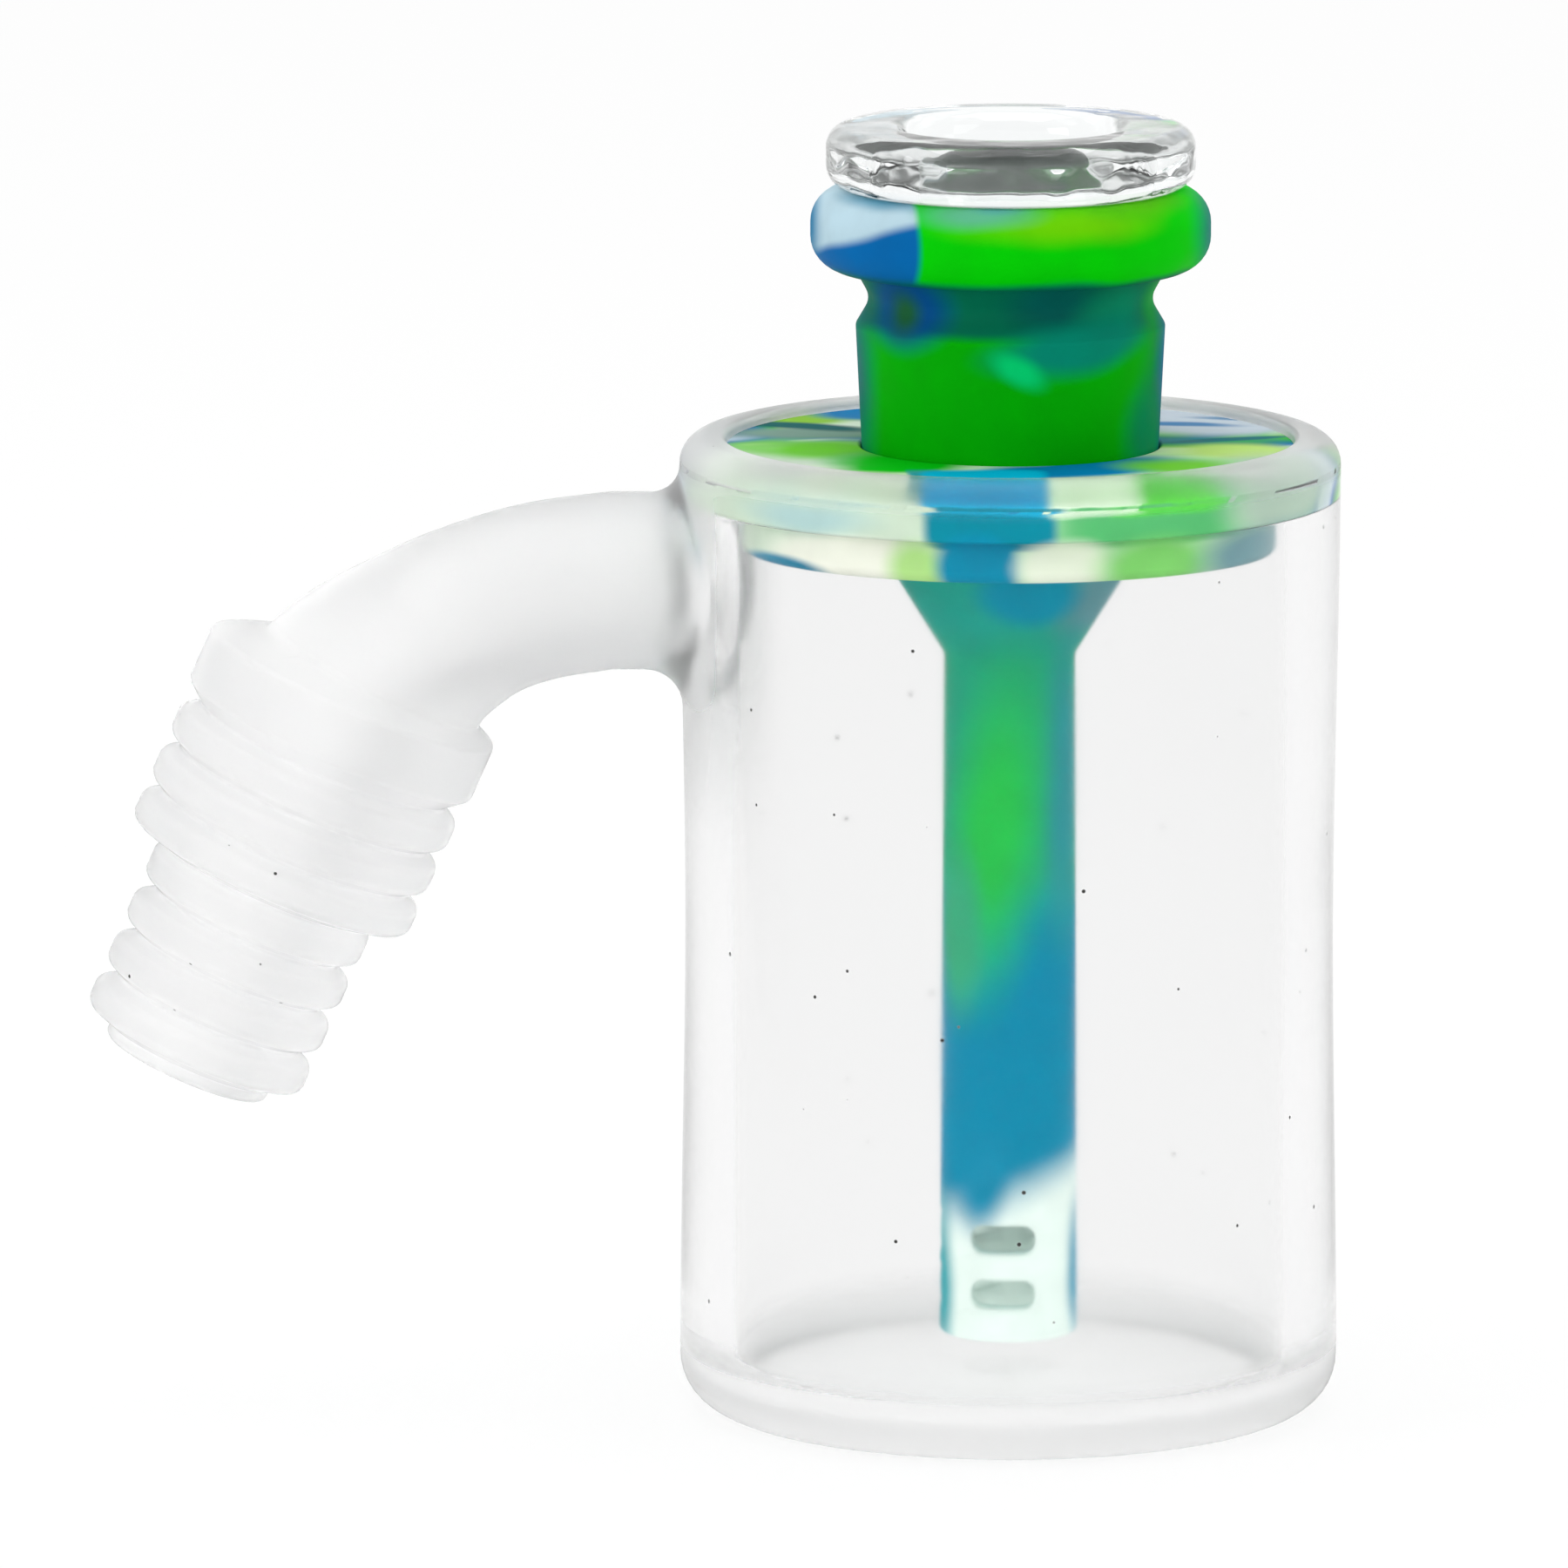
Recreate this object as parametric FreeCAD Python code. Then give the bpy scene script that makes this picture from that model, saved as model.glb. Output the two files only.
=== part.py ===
"""Silicone ash catcher: cup with a ribbed side plug, lid, downstem and glass bowl.

Millimetres. The cup stands on z = 0 with its axis on Z, and the side arm points towards -X.
"""
import FreeCAD, Part
import math
import os
from collections import namedtuple

# A corner of a turned outline: radius from the axis, height along it, rounding of the corner.
Corner = namedtuple("Corner", "r z round")

# A round cross-section of the side arm: its centre, the lean of its plane and its diameter.
Station = namedtuple("Station", "x z lean diameter")

# Fits. Each soft seat keeps a small gap, so that the piece lifts straight out.
LID_GAP = 0.08
SEAT_GAP = 0.06
TAPER_PER_SIDE = 0.05

# Cup: a slightly waisted drum with a rounded foot, a soft lip and a ledge for the lid.
CUP_RADIUS = 21.5
CUP_HEIGHT = 64.2
CUP_WAIST_RADIUS = 21.15
CUP_FOOT_ROUND = 3.5
CUP_LIP_ROUND = 1.8
CUP_FLOOR = 2.6
CUP_FLOOR_ROUND = 2.2
CUP_BORE_RADIUS = 17.9
LEDGE_HEIGHT = 60.0
MOUTH_RADIUS = 18.5
MOUTH_ROUND = 0.4

# Side arm: it leaves the wall level, bends down and widens towards the collar.
ARM_STATIONS = (
    Station(-19.5, 54.6, 0.0, 11.6),
    Station(-26.0, 54.6, 0.0, 11.6),
    Station(-30.6, 53.9, 11.0, 11.6),
    Station(-34.4, 52.7, 25.0, 11.8),
    Station(-37.7, 51.05, 42.0, 12.8),
    Station(-40.2, 49.5, 56.5, 14.3),
    Station(-41.85, 47.9, 66.2, 15.5),
)
ARM_LOFT_DEGREE = 3
ARM_ROOT_ROUND = 2.4
ARM_BORE_RADIUS = 3.8
ARM_BORE_START = -15.5
ARM_MOUTH_ROUND = 1.0

# Plug: a collar, three wide ribs, four narrow ribs and a short plain tip on one leaning axis.
PLUG_TOP_X = -42.24
PLUG_TOP_Z = 48.81
PLUG_LEAN = 23.8
PLUG_LENGTH = 28.9
PLUG_TIP_RADIUS = 5.65
PLUG_TIP_ROUND = 0.5
COLLAR_NECK_RADIUS = 7.5
COLLAR_RADIUS = 10.0
COLLAR_START = 1.25
COLLAR_END = 5.0
COLLAR_ROUND = 0.5
RIB_FIRST = 7.77
RIB_PITCH = 3.11
RIB_LAND_HALF = 0.85
RIB_ROUND = 0.75
RIB_ROOT_ROUND = 0.2
WIDE_RIBS = 3
WIDE_RIB_RADIUS = 9.8
WIDE_ROOT_RADIUS = 8.55
STEP_ROOT_RADIUS = 7.3
NARROW_RIBS = 4
NARROW_RIB_RADIUS = 7.6
NARROW_ROOT_RADIUS = 6.1

# Lid: a plug disc with a thin upper band, a tall lower band that rests on the ledge, and a skirt.
LID_TOP = 63.6
LID_BOTTOM = 57.2
LID_GROOVE_TOP = 62.9
LID_GROOVE_BOTTOM = 62.3
LID_GROOVE_DEPTH = 0.45
LID_SKIRT_RADIUS = 17.3
LID_SKIRT_ROUND = 0.8
LID_EDGE_ROUND = 0.2
LID_HOLE_ROUND = 0.3

# Downstem: flared rim, groove, tapered neck, funnel and a long tube with slots near its end.
NECK_LOW_RADIUS = 9.4
NECK_LOW = 58.4
NECK_SHOULDER = 71.5
NECK_ROUND = 0.5
GROOVE_RADIUS = 9.05
GROOVE_HEIGHT = 73.2
GROOVE_ROUND = 1.3
RIM_RADIUS = 13.0
RIM_BOTTOM = 75.1
RIM_TOP = 80.4
RIM_NECK_RADIUS = 10.1
RIM_ROUND = 2.2
SOCKET_RADIUS = 7.25
SOCKET_BOTTOM = 57.4
SOCKET_ROUND = 0.4
FUNNEL_BOTTOM = 51.2
FUNNEL_ROUND = 1.0
TUBE_TOP = 50.2
TUBE_BOTTOM = 5.0
TUBE_TOP_RADIUS = 4.25
TUBE_END_RADIUS = 4.5
TUBE_BORE_RADIUS = 2.8
TUBE_END_ROUND = 0.4
SLOT_HEIGHTS = (8.1, 11.7)
SLOT_DIRECTIONS = (-96.0, 24.0, 144.0)
SLOT_WIDTH = 4.1
SLOT_TALL = 1.9
SLOT_ROUND = 0.8

# Glass bowl: domed flange on the rim, a tapered stem in the socket, a bowl and its outlet.
FLANGE_RADIUS = 12.0
FLANGE_TOP = 84.5
FLANGE_UNDER_ROUND = 1.5
FLANGE_DOME_ROUND = 1.4
STEM_BOTTOM = 60.4
STEM_END_ROUND = 0.6
STEM_BORE_RADIUS = 4.3
STEM_BORE_TOP = 66.5
STEM_BORE_ROUND = 0.8
BOWL_MOUTH_RADIUS = 6.6
BOWL_MOUTH_ROUND = 1.6
BOWL_LOW_RADIUS = 5.6
BOWL_LOW = 75.5
BOWL_ROUND = 3.0
OUTLET_RADIUS = 2.0
OUTLET_TOP = 71.5
OUTLET_BOTTOM = 69.5
OUTLET_ROUND = 0.4

AXIS_Y = FreeCAD.Vector(0, 1, 0)
AXIS_Z = FreeCAD.Vector(0, 0, 1)
ORIGIN = FreeCAD.Vector(0, 0, 0)
QUARTER_TURN = 90.0
HALF_TURN = 180.0
FULL_TURN = 360.0
MERGE = 1e-6
EDGE_MARGIN = 0.5


def rounding_points(before, corner, after, radius):
    """Return the start, middle and end of the arc that rounds one corner."""
    to_before = (before - corner).normalize()
    to_after = (after - corner).normalize()
    half_angle = to_before.getAngle(to_after) / 2
    reach = radius / math.tan(half_angle)
    inward = (to_before + to_after).normalize()
    middle = corner + inward * (radius / math.sin(half_angle) - radius)
    return corner + to_before * reach, middle, corner + to_after * reach


def outline(corners):
    """Return a closed wire in the XZ plane through the corners, with their roundings as arcs."""
    points = [FreeCAD.Vector(corner.r, 0, corner.z) for corner in corners]
    count = len(points)
    spans = []
    for index, corner in enumerate(corners):
        here = points[index]
        if corner.round > 0:
            after = points[(index + 1) % count]
            spans.append(rounding_points(points[index - 1], here, after, corner.round))
        else:
            spans.append((here, here, here))
    edges = []
    for index, (start, middle, end) in enumerate(spans):
        if corners[index].round > 0:
            edges.append(Part.Arc(start, middle, end).toShape())
        following = spans[(index + 1) % count][0]
        if end.distanceToPoint(following) > MERGE:
            edges.append(Part.makeLine(end, following))
    return Part.Wire(edges)


def turned(corners):
    """Return the solid that the outline makes when it turns about Z."""
    return Part.Face(outline(corners)).revolve(ORIGIN, AXIS_Z, FULL_TURN)


def plug_frame():
    """Return the placement that lays the Z axis along the plug, from the collar to the tip."""
    turn = FreeCAD.Rotation(AXIS_Y, HALF_TURN + PLUG_LEAN)
    return FreeCAD.Placement(FreeCAD.Vector(PLUG_TOP_X, 0, PLUG_TOP_Z), turn)


def ring(x, z, lean, radius):
    """Return a circle across the arm, its plane leaning by the given angle."""
    turn = FreeCAD.Rotation(AXIS_Y, -(QUARTER_TURN + lean))
    circle = Part.Circle(ORIGIN, AXIS_Z, radius).toShape()
    circle.Placement = FreeCAD.Placement(FreeCAD.Vector(x, 0, z), turn)
    return Part.Wire(circle)


def arm_skin():
    """Return the solid arm, sunk a little way into the wall and the collar."""
    rings = [ring(s.x, s.z, s.lean, s.diameter / 2) for s in ARM_STATIONS]
    return Part.makeLoft(rings, True, False, False, ARM_LOFT_DEGREE)


def arm_bore():
    """Return the passage from the cup through the arm and the plug."""
    first = ARM_STATIONS[0]
    rings = [ring(ARM_BORE_START, first.z, first.lean, ARM_BORE_RADIUS)]
    for station in ARM_STATIONS[1:-1]:
        rings.append(ring(station.x, station.z, station.lean, ARM_BORE_RADIUS))
    frame = plug_frame()
    joint = frame.multVec(AXIS_Z * COLLAR_START)
    rings.append(ring(joint.x, joint.z, QUARTER_TURN - PLUG_LEAN, ARM_BORE_RADIUS))
    bend = Part.makeLoft(rings, True, False, False, ARM_LOFT_DEGREE)
    straight = Part.makeCylinder(ARM_BORE_RADIUS, PLUG_LENGTH, AXIS_Z * COLLAR_START, AXIS_Z)
    straight.Placement = frame
    return bend.fuse(straight)


def rib_corners(centre, tip, root):
    """Return one rounded rib of the plug and the root that follows it."""
    return [
        Corner(tip, centre - RIB_LAND_HALF, RIB_ROUND),
        Corner(tip, centre + RIB_LAND_HALF, RIB_ROUND),
        Corner(root, centre + RIB_PITCH / 2, RIB_ROOT_ROUND),
    ]


def plug_skin():
    """Return the solid collar and ribbed plug, in place."""
    corners = [
        Corner(0, 0, 0),
        Corner(COLLAR_NECK_RADIUS, 0, 0),
        Corner(COLLAR_RADIUS, COLLAR_START, COLLAR_ROUND),
        Corner(COLLAR_RADIUS, COLLAR_END, COLLAR_ROUND),
        Corner(WIDE_ROOT_RADIUS, RIB_FIRST - RIB_PITCH / 2, RIB_ROOT_ROUND),
    ]
    tips = [WIDE_RIB_RADIUS] * WIDE_RIBS + [NARROW_RIB_RADIUS] * NARROW_RIBS
    roots = [WIDE_ROOT_RADIUS] * (WIDE_RIBS - 1) + [STEP_ROOT_RADIUS]
    roots += [NARROW_ROOT_RADIUS] * (NARROW_RIBS - 1) + [PLUG_TIP_RADIUS]
    for index, (tip, root) in enumerate(zip(tips, roots)):
        corners += rib_corners(RIB_FIRST + index * RIB_PITCH, tip, root)
    corners.append(Corner(PLUG_TIP_RADIUS, PLUG_LENGTH, PLUG_TIP_ROUND))
    corners.append(Corner(0, PLUG_LENGTH, 0))
    plug = turned(corners)
    plug.Placement = plug_frame()
    return plug


def cup_skin():
    """Return the solid drum of the cup, without its hollow, its wall drawn in at the waist."""
    foot = FreeCAD.Vector(CUP_RADIUS, 0, 0)
    lip = FreeCAD.Vector(CUP_RADIUS, 0, CUP_HEIGHT)
    top = FreeCAD.Vector(0, 0, CUP_HEIGHT)
    waist = FreeCAD.Vector(CUP_WAIST_RADIUS, 0, CUP_HEIGHT / 2)
    foot_arc = rounding_points(ORIGIN, foot, lip, CUP_FOOT_ROUND)
    lip_arc = rounding_points(foot, lip, top, CUP_LIP_ROUND)
    wall = Part.BSplineCurve()
    wall.interpolate([foot_arc[-1], waist, lip_arc[0]], InitialTangent=AXIS_Z, FinalTangent=AXIS_Z)
    edges = [
        Part.makeLine(ORIGIN, foot_arc[0]),
        Part.Arc(*foot_arc).toShape(),
        wall.toShape(),
        Part.Arc(*lip_arc).toShape(),
        Part.makeLine(lip_arc[-1], top),
        Part.makeLine(top, ORIGIN),
    ]
    return Part.Face(Part.Wire(edges)).revolve(ORIGIN, AXIS_Z, FULL_TURN)


def cup_hollow():
    """Return the hollow of the cup: chamber, ledge and mouth with its rounded edge."""
    return turned([
        Corner(0, CUP_FLOOR, 0),
        Corner(CUP_BORE_RADIUS, CUP_FLOOR, CUP_FLOOR_ROUND),
        Corner(CUP_BORE_RADIUS, LEDGE_HEIGHT, 0),
        Corner(MOUTH_RADIUS, LEDGE_HEIGHT, 0),
        Corner(MOUTH_RADIUS, CUP_HEIGHT, 0),
        Corner(0, CUP_HEIGHT, 0),
    ])


def edges_near(shape, point, reach):
    """Return the edges of the shape whose ends all lie within reach of the point."""
    found = []
    for edge in shape.Edges:
        if all(end.Point.distanceToPoint(point) < reach for end in edge.Vertexes):
            found.append(edge)
    return found


def chamber_cup():
    """Return the cup, arm and plug as one moulding."""
    start = ARM_STATIONS[0]
    root = FreeCAD.Vector(-CUP_RADIUS, 0, start.z)
    mouth = FreeCAD.Vector(-CUP_BORE_RADIUS, 0, start.z)
    body = cup_skin().fuse(arm_skin()).Solids[0]
    seam = edges_near(body, root, start.diameter / 2 + EDGE_MARGIN)
    body = body.makeFillet(ARM_ROOT_ROUND, seam)
    body = body.fuse(plug_skin()).cut(cup_hollow()).cut(arm_bore()).Solids[0]
    opening = edges_near(body, mouth, ARM_BORE_RADIUS + EDGE_MARGIN)
    body = body.makeFillet(ARM_MOUTH_ROUND, opening)
    lip = [edge for edge in body.Edges if is_lip(edge)]
    return body.makeFillet(MOUTH_ROUND, lip)


def is_lip(edge):
    """Tell whether an edge is the inner edge of the mouth."""
    box = edge.BoundBox
    level = abs(box.ZMin - CUP_HEIGHT) < MERGE
    return level and abs(box.XMax - MOUTH_RADIUS) < SEAT_GAP


def neck_radius(height):
    """Return the radius of the tapered neck of the downstem at a height."""
    return NECK_LOW_RADIUS + (height - NECK_LOW) * TAPER_PER_SIDE


def socket_radius(height):
    """Return the radius of the tapered socket for the glass stem at a height."""
    return SOCKET_RADIUS - (RIM_TOP - height) * TAPER_PER_SIDE


def lid():
    """Return the lid with its sealing bands, skirt and tapered hole."""
    band = MOUTH_RADIUS - LID_GAP
    groove = band - LID_GROOVE_DEPTH
    return turned([
        Corner(neck_radius(LID_BOTTOM) + SEAT_GAP, LID_BOTTOM, LID_HOLE_ROUND),
        Corner(LID_SKIRT_RADIUS, LID_BOTTOM, LID_SKIRT_ROUND),
        Corner(LID_SKIRT_RADIUS, LEDGE_HEIGHT, LID_EDGE_ROUND),
        Corner(band, LEDGE_HEIGHT, LID_EDGE_ROUND),
        Corner(band, LID_GROOVE_BOTTOM, LID_EDGE_ROUND),
        Corner(groove, LID_GROOVE_BOTTOM, 0),
        Corner(groove, LID_GROOVE_TOP, 0),
        Corner(band, LID_GROOVE_TOP, LID_EDGE_ROUND),
        Corner(band, LID_TOP, LID_HOLE_ROUND),
        Corner(neck_radius(LID_TOP) + SEAT_GAP, LID_TOP, LID_HOLE_ROUND),
    ])


def slot(height, direction):
    """Return the cutter for one slot of the tube."""
    low = FreeCAD.Vector(0, -SLOT_WIDTH / 2, height - SLOT_TALL / 2)
    block = Part.makeBox(TUBE_END_RADIUS * 2, SLOT_WIDTH, SLOT_TALL, low)
    long_edges = [edge for edge in block.Edges if edge.BoundBox.XLength > SLOT_WIDTH]
    cutter = block.makeFillet(SLOT_ROUND, long_edges)
    cutter.rotate(ORIGIN, AXIS_Z, direction)
    return cutter


def downstem():
    """Return the downstem with its socket, funnel, tube and slots."""
    body = turned([
        Corner(TUBE_BORE_RADIUS, TUBE_BOTTOM, TUBE_END_ROUND),
        Corner(TUBE_END_RADIUS, TUBE_BOTTOM, TUBE_END_ROUND),
        Corner(TUBE_TOP_RADIUS, TUBE_TOP, FUNNEL_ROUND),
        Corner(NECK_LOW_RADIUS, NECK_LOW, NECK_ROUND),
        Corner(neck_radius(NECK_SHOULDER), NECK_SHOULDER, NECK_ROUND),
        Corner(GROOVE_RADIUS, GROOVE_HEIGHT, GROOVE_ROUND),
        Corner(RIM_NECK_RADIUS, RIM_BOTTOM, NECK_ROUND),
        Corner(RIM_RADIUS, RIM_BOTTOM, RIM_ROUND),
        Corner(RIM_RADIUS, RIM_TOP, RIM_ROUND),
        Corner(SOCKET_RADIUS, RIM_TOP, SOCKET_ROUND),
        Corner(socket_radius(SOCKET_BOTTOM), SOCKET_BOTTOM, SOCKET_ROUND),
        Corner(TUBE_BORE_RADIUS, FUNNEL_BOTTOM, FUNNEL_ROUND),
    ])
    for direction in SLOT_DIRECTIONS:
        for height in SLOT_HEIGHTS:
            body = body.cut(slot(height, direction))
    return body


def glass_bowl():
    """Return the glass bowl with its flange, stem, bowl and outlet."""
    return turned([
        Corner(STEM_BORE_RADIUS, STEM_BOTTOM, STEM_END_ROUND),
        Corner(socket_radius(STEM_BOTTOM) - SEAT_GAP, STEM_BOTTOM, STEM_END_ROUND),
        Corner(SOCKET_RADIUS - SEAT_GAP, RIM_TOP, 0),
        Corner(FLANGE_RADIUS, RIM_TOP, FLANGE_UNDER_ROUND),
        Corner(FLANGE_RADIUS, FLANGE_TOP, FLANGE_DOME_ROUND),
        Corner(BOWL_MOUTH_RADIUS, FLANGE_TOP, BOWL_MOUTH_ROUND),
        Corner(BOWL_LOW_RADIUS, BOWL_LOW, BOWL_ROUND),
        Corner(OUTLET_RADIUS, OUTLET_TOP, OUTLET_ROUND),
        Corner(OUTLET_RADIUS, OUTLET_BOTTOM, OUTLET_ROUND),
        Corner(STEM_BORE_RADIUS, STEM_BORE_TOP, STEM_BORE_ROUND),
    ])


def main():
    """Build every piece and write it out under its own name."""
    os.makedirs("parts", exist_ok=True)
    pieces = {
        "chamber_cup": chamber_cup(),
        "lid": lid(),
        "downstem": downstem(),
        "glass_bowl": glass_bowl(),
    }
    for name, shape in pieces.items():
        shape.Solids[0].exportStep("parts/" + name + ".step")
        box = shape.BoundBox
        print(name, shape.ShapeType, shape.isValid(), len(shape.Solids), round(shape.Volume), box)


main()
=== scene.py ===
"""Looks of a silicone ash catcher: a clear cup, a marbled lid and downstem, and a glass bowl.

Sizes are in millimetres until a skin is finished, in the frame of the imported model.
"""

import logging
import math
from dataclasses import dataclass, field
from enum import Enum
from typing import Any, Callable, Iterable, NamedTuple, Sequence

import bmesh
import bpy
from mathutils import Matrix, Vector


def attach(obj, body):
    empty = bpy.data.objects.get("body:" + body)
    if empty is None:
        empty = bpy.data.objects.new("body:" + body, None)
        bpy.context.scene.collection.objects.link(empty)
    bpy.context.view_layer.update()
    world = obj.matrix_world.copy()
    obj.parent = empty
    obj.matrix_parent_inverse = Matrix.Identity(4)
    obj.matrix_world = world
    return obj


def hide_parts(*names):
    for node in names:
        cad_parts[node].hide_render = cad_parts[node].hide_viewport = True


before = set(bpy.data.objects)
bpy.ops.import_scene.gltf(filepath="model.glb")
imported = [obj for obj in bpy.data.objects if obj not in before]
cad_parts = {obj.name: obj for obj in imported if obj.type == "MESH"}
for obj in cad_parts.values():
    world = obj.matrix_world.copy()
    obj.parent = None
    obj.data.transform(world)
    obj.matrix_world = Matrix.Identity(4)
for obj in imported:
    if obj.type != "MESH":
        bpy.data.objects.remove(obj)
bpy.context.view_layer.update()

LOG = logging.getLogger("ash_catcher")
MM = 0.001
PER_METRE = 1000.0
ARC_STEP = math.radians(10.0)
UP = Vector((0.0, 0.0, 1.0))
# Colour sockets of a mix node
MIX_A, MIX_B, MIX_RESULT = 6, 7, 2
# Power that turns an ellipsoid into a soft box
BOX_POWER = 4
# Diffuse depth between no bounce and one
FIRST_SCATTER = 0.5

Triple = tuple[float, float, float]
Point = tuple[float, float]
Ring = list[bmesh.types.BMVert]
Tree = bpy.types.NodeTree
Socket = bpy.types.NodeSocket
Outputs = bpy.types.bpy_prop_collection


class Node(Enum):
    """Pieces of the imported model."""

    CUP = "chamber_cup"
    LID = "lid"
    DOWNSTEM = "downstem"
    BOWL = "glass_bowl"


class Body(Enum):
    """Bodies that the pieces ride on."""

    CUP = "cup"
    LID = "lid"
    STEM = "stem"
    BOWL = "bowl"


class Slot(Enum):
    """Material slots of the record."""

    CLEAR_SILICONE = "clear_silicone"
    MARBLED_SILICONE = "marbled_silicone"
    CLEAR_GLASS = "clear_glass"


class Corner(NamedTuple):
    """A corner of a turned profile: its radius, its height and how far it is rounded."""

    r: float
    z: float
    round: float = 0.0


class Station(NamedTuple):
    """A section of the side arm: its centre, how far its axis dips, and its radius."""

    x: float
    z: float
    dip: float
    r: float


# Profiles and paths


@dataclass(frozen=True)
class Taper:
    """A cone that narrows downwards, one in ten on the diameter."""

    r: float
    z: float
    per_side: float = 0.05

    def at(self, z: float) -> float:
        """Return the radius at a height."""
        return self.r + (z - self.z) * self.per_side


NECK = Taper(9.4, 58.4)
SOCKET = Taper(7.25, 80.4)
SEAT_GAP = 0.06


def rounded(corners: Sequence[Corner]) -> list[Point]:
    """Turn each rounded corner of a closed profile into an arc.

    Args:
        corners: The profile's corners, in order.

    Returns:
        The points of the profile, in order.
    """
    points: list[Point] = []
    for index, corner in enumerate(corners):
        here = Vector((corner.r, corner.z))
        if not corner.round:
            points.append(tuple(here))
            continue
        after = corners[(index + 1) % len(corners)]
        back = (Vector((corners[index - 1].r, corners[index - 1].z)) - here).normalized()
        ahead = (Vector((after.r, after.z)) - here).normalized()
        half = back.angle(ahead) / 2
        centre = here + (back + ahead).normalized() * (corner.round / math.sin(half))
        arm = here + back * (corner.round / math.tan(half)) - centre
        sweep = math.copysign(math.pi - 2 * half, back.y * ahead.x - back.x * ahead.y)
        steps = max(2, math.ceil(abs(sweep) / ARC_STEP))
        for step in range(steps + 1):
            turn = Matrix.Rotation(sweep * step / steps, 2)
            points.append(tuple(centre + turn @ arm))
    return points


def evenly(start: float, end: float, steps: int) -> list[float]:
    """Return steps + 1 values from start to end."""
    return [start + (end - start) * step / steps for step in range(steps + 1)]


def row_at(profile: Sequence[Point], r: float, z: float) -> int:
    """Return the index of the profile's point nearest to a radius and height."""
    return min(range(len(profile)), key=lambda row: math.dist(profile[row], (r, z)))


def smooth_path(stations: Sequence[Station], steps: int) -> list[Station]:
    """Run a smooth cubic through the stations of the arm.

    Args:
        stations: The sections that the path passes through.
        steps: Sections made from one station to the next.

    Returns:
        The finer sections, with both ends.
    """
    along = [0.0]
    for before, after in zip(stations, stations[1:]):
        along.append(along[-1] + math.dist(before[:2], after[:2]))
    last = len(stations) - 1
    slopes = []
    for index in range(last + 1):
        low, high = max(index - 1, 0), min(index + 1, last)
        run = along[high] - along[low]
        slopes.append([(b - a) / run for a, b in zip(stations[low], stations[high])])
    path = []
    for index in range(last):
        span = along[index + 1] - along[index]
        for step in range(steps):
            t = step / steps
            weights = (
                (1 + 2 * t) * (1 - t) ** 2,
                t * (1 - t) ** 2 * span,
                t * t * (3 - 2 * t),
                t * t * (t - 1) * span,
            )
            parts = zip(stations[index], slopes[index], stations[index + 1], slopes[index + 1])
            path.append(Station(*(sum(w * v for w, v in zip(weights, four)) for four in parts)))
    return path + [stations[last]]


def box_reach(angle: float, half_wide: float, half_tall: float, round_by: float) -> float:
    """Measure a rounded box from its middle to its edge.

    Args:
        angle: Direction from the middle, in radians.
        half_wide: Half of the box's width.
        half_tall: Half of its height.
        round_by: Radius of its corners.

    Returns:
        The distance to the edge in that direction.
    """
    across, upward = abs(math.cos(angle)), abs(math.sin(angle))
    wide, tall = half_wide - round_by, half_tall - round_by
    if half_wide * upward <= tall * across:
        return half_wide / across
    if half_tall * across <= wide * upward:
        return half_tall / upward
    ahead = wide * across + tall * upward
    return ahead + math.sqrt(ahead**2 - wide**2 - tall**2 + round_by**2)


# Skins


@dataclass(frozen=True)
class Window:
    """A block of faces left out of a turned wall, where a hole is set in."""

    rows: tuple[int, int]
    columns: tuple[int, int]

    def covers(self, row: int, column: int) -> bool:
        """Tell whether a face of the wall lies in the window."""
        in_rows = self.rows[0] <= row < self.rows[1]
        return in_rows and self.columns[0] <= column < self.columns[1]

    def edge(self, rings: Sequence[Ring]) -> Ring:
        """Walk round the window.

        Args:
            rings: The rows of the wall.

        Returns:
            The wall's vertices round the window, in order.
        """
        (low, high), (left, right) = self.rows, self.columns
        loop = [rings[low][column] for column in range(left, right)]
        loop += [rings[row][right] for row in range(low, high)]
        loop += [rings[high][column] for column in range(right, left, -1)]
        return loop + [rings[row][left] for row in range(high, low, -1)]


@dataclass(frozen=True)
class Facing:
    """The plane that a hole in a turned wall is laid out on, square to the wall."""

    direction: float
    height: float
    wall: Callable[[float], float]

    @property
    def outward(self) -> Vector:
        """Return the way out of the wall."""
        return Vector((math.cos(self.direction), math.sin(self.direction), 0.0))

    @property
    def sideways(self) -> Vector:
        """Return the way along the wall."""
        return Vector((-math.sin(self.direction), math.cos(self.direction), 0.0))

    def point(self, across: float, upward: float, out: float = 0.0) -> Vector:
        """Find a point over a place on the plane.

        Args:
            across: How far along the wall the place is.
            upward: How far over the plane's middle it is.
            out: How far out of the wall the point is.

        Returns:
            The point.
        """
        z = self.height + upward
        depth = math.sqrt(self.wall(z) ** 2 - across**2) + out
        return self.outward * depth + self.sideways * across + UP * z

    def polar(self, angle: float, reach: float, out: float = 0.0) -> Vector:
        """Return the point that far out over a direction and distance from the plane's middle."""
        return self.point(reach * math.cos(angle), reach * math.sin(angle), out)

    def place(self, vertex: bmesh.types.BMVert) -> Point:
        """Return where on the plane a vertex of the wall lies."""
        return vertex.co.dot(self.sideways), vertex.co.z - self.height

    def angle(self, vertex: bmesh.types.BMVert) -> float:
        """Return a vertex's direction from the middle of the plane."""
        across, upward = self.place(vertex)
        return math.atan2(upward, across)

    def in_order(self, loop: Ring) -> Ring:
        """Return a loop's vertices in order of their direction."""
        return sorted(loop, key=self.angle)


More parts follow.
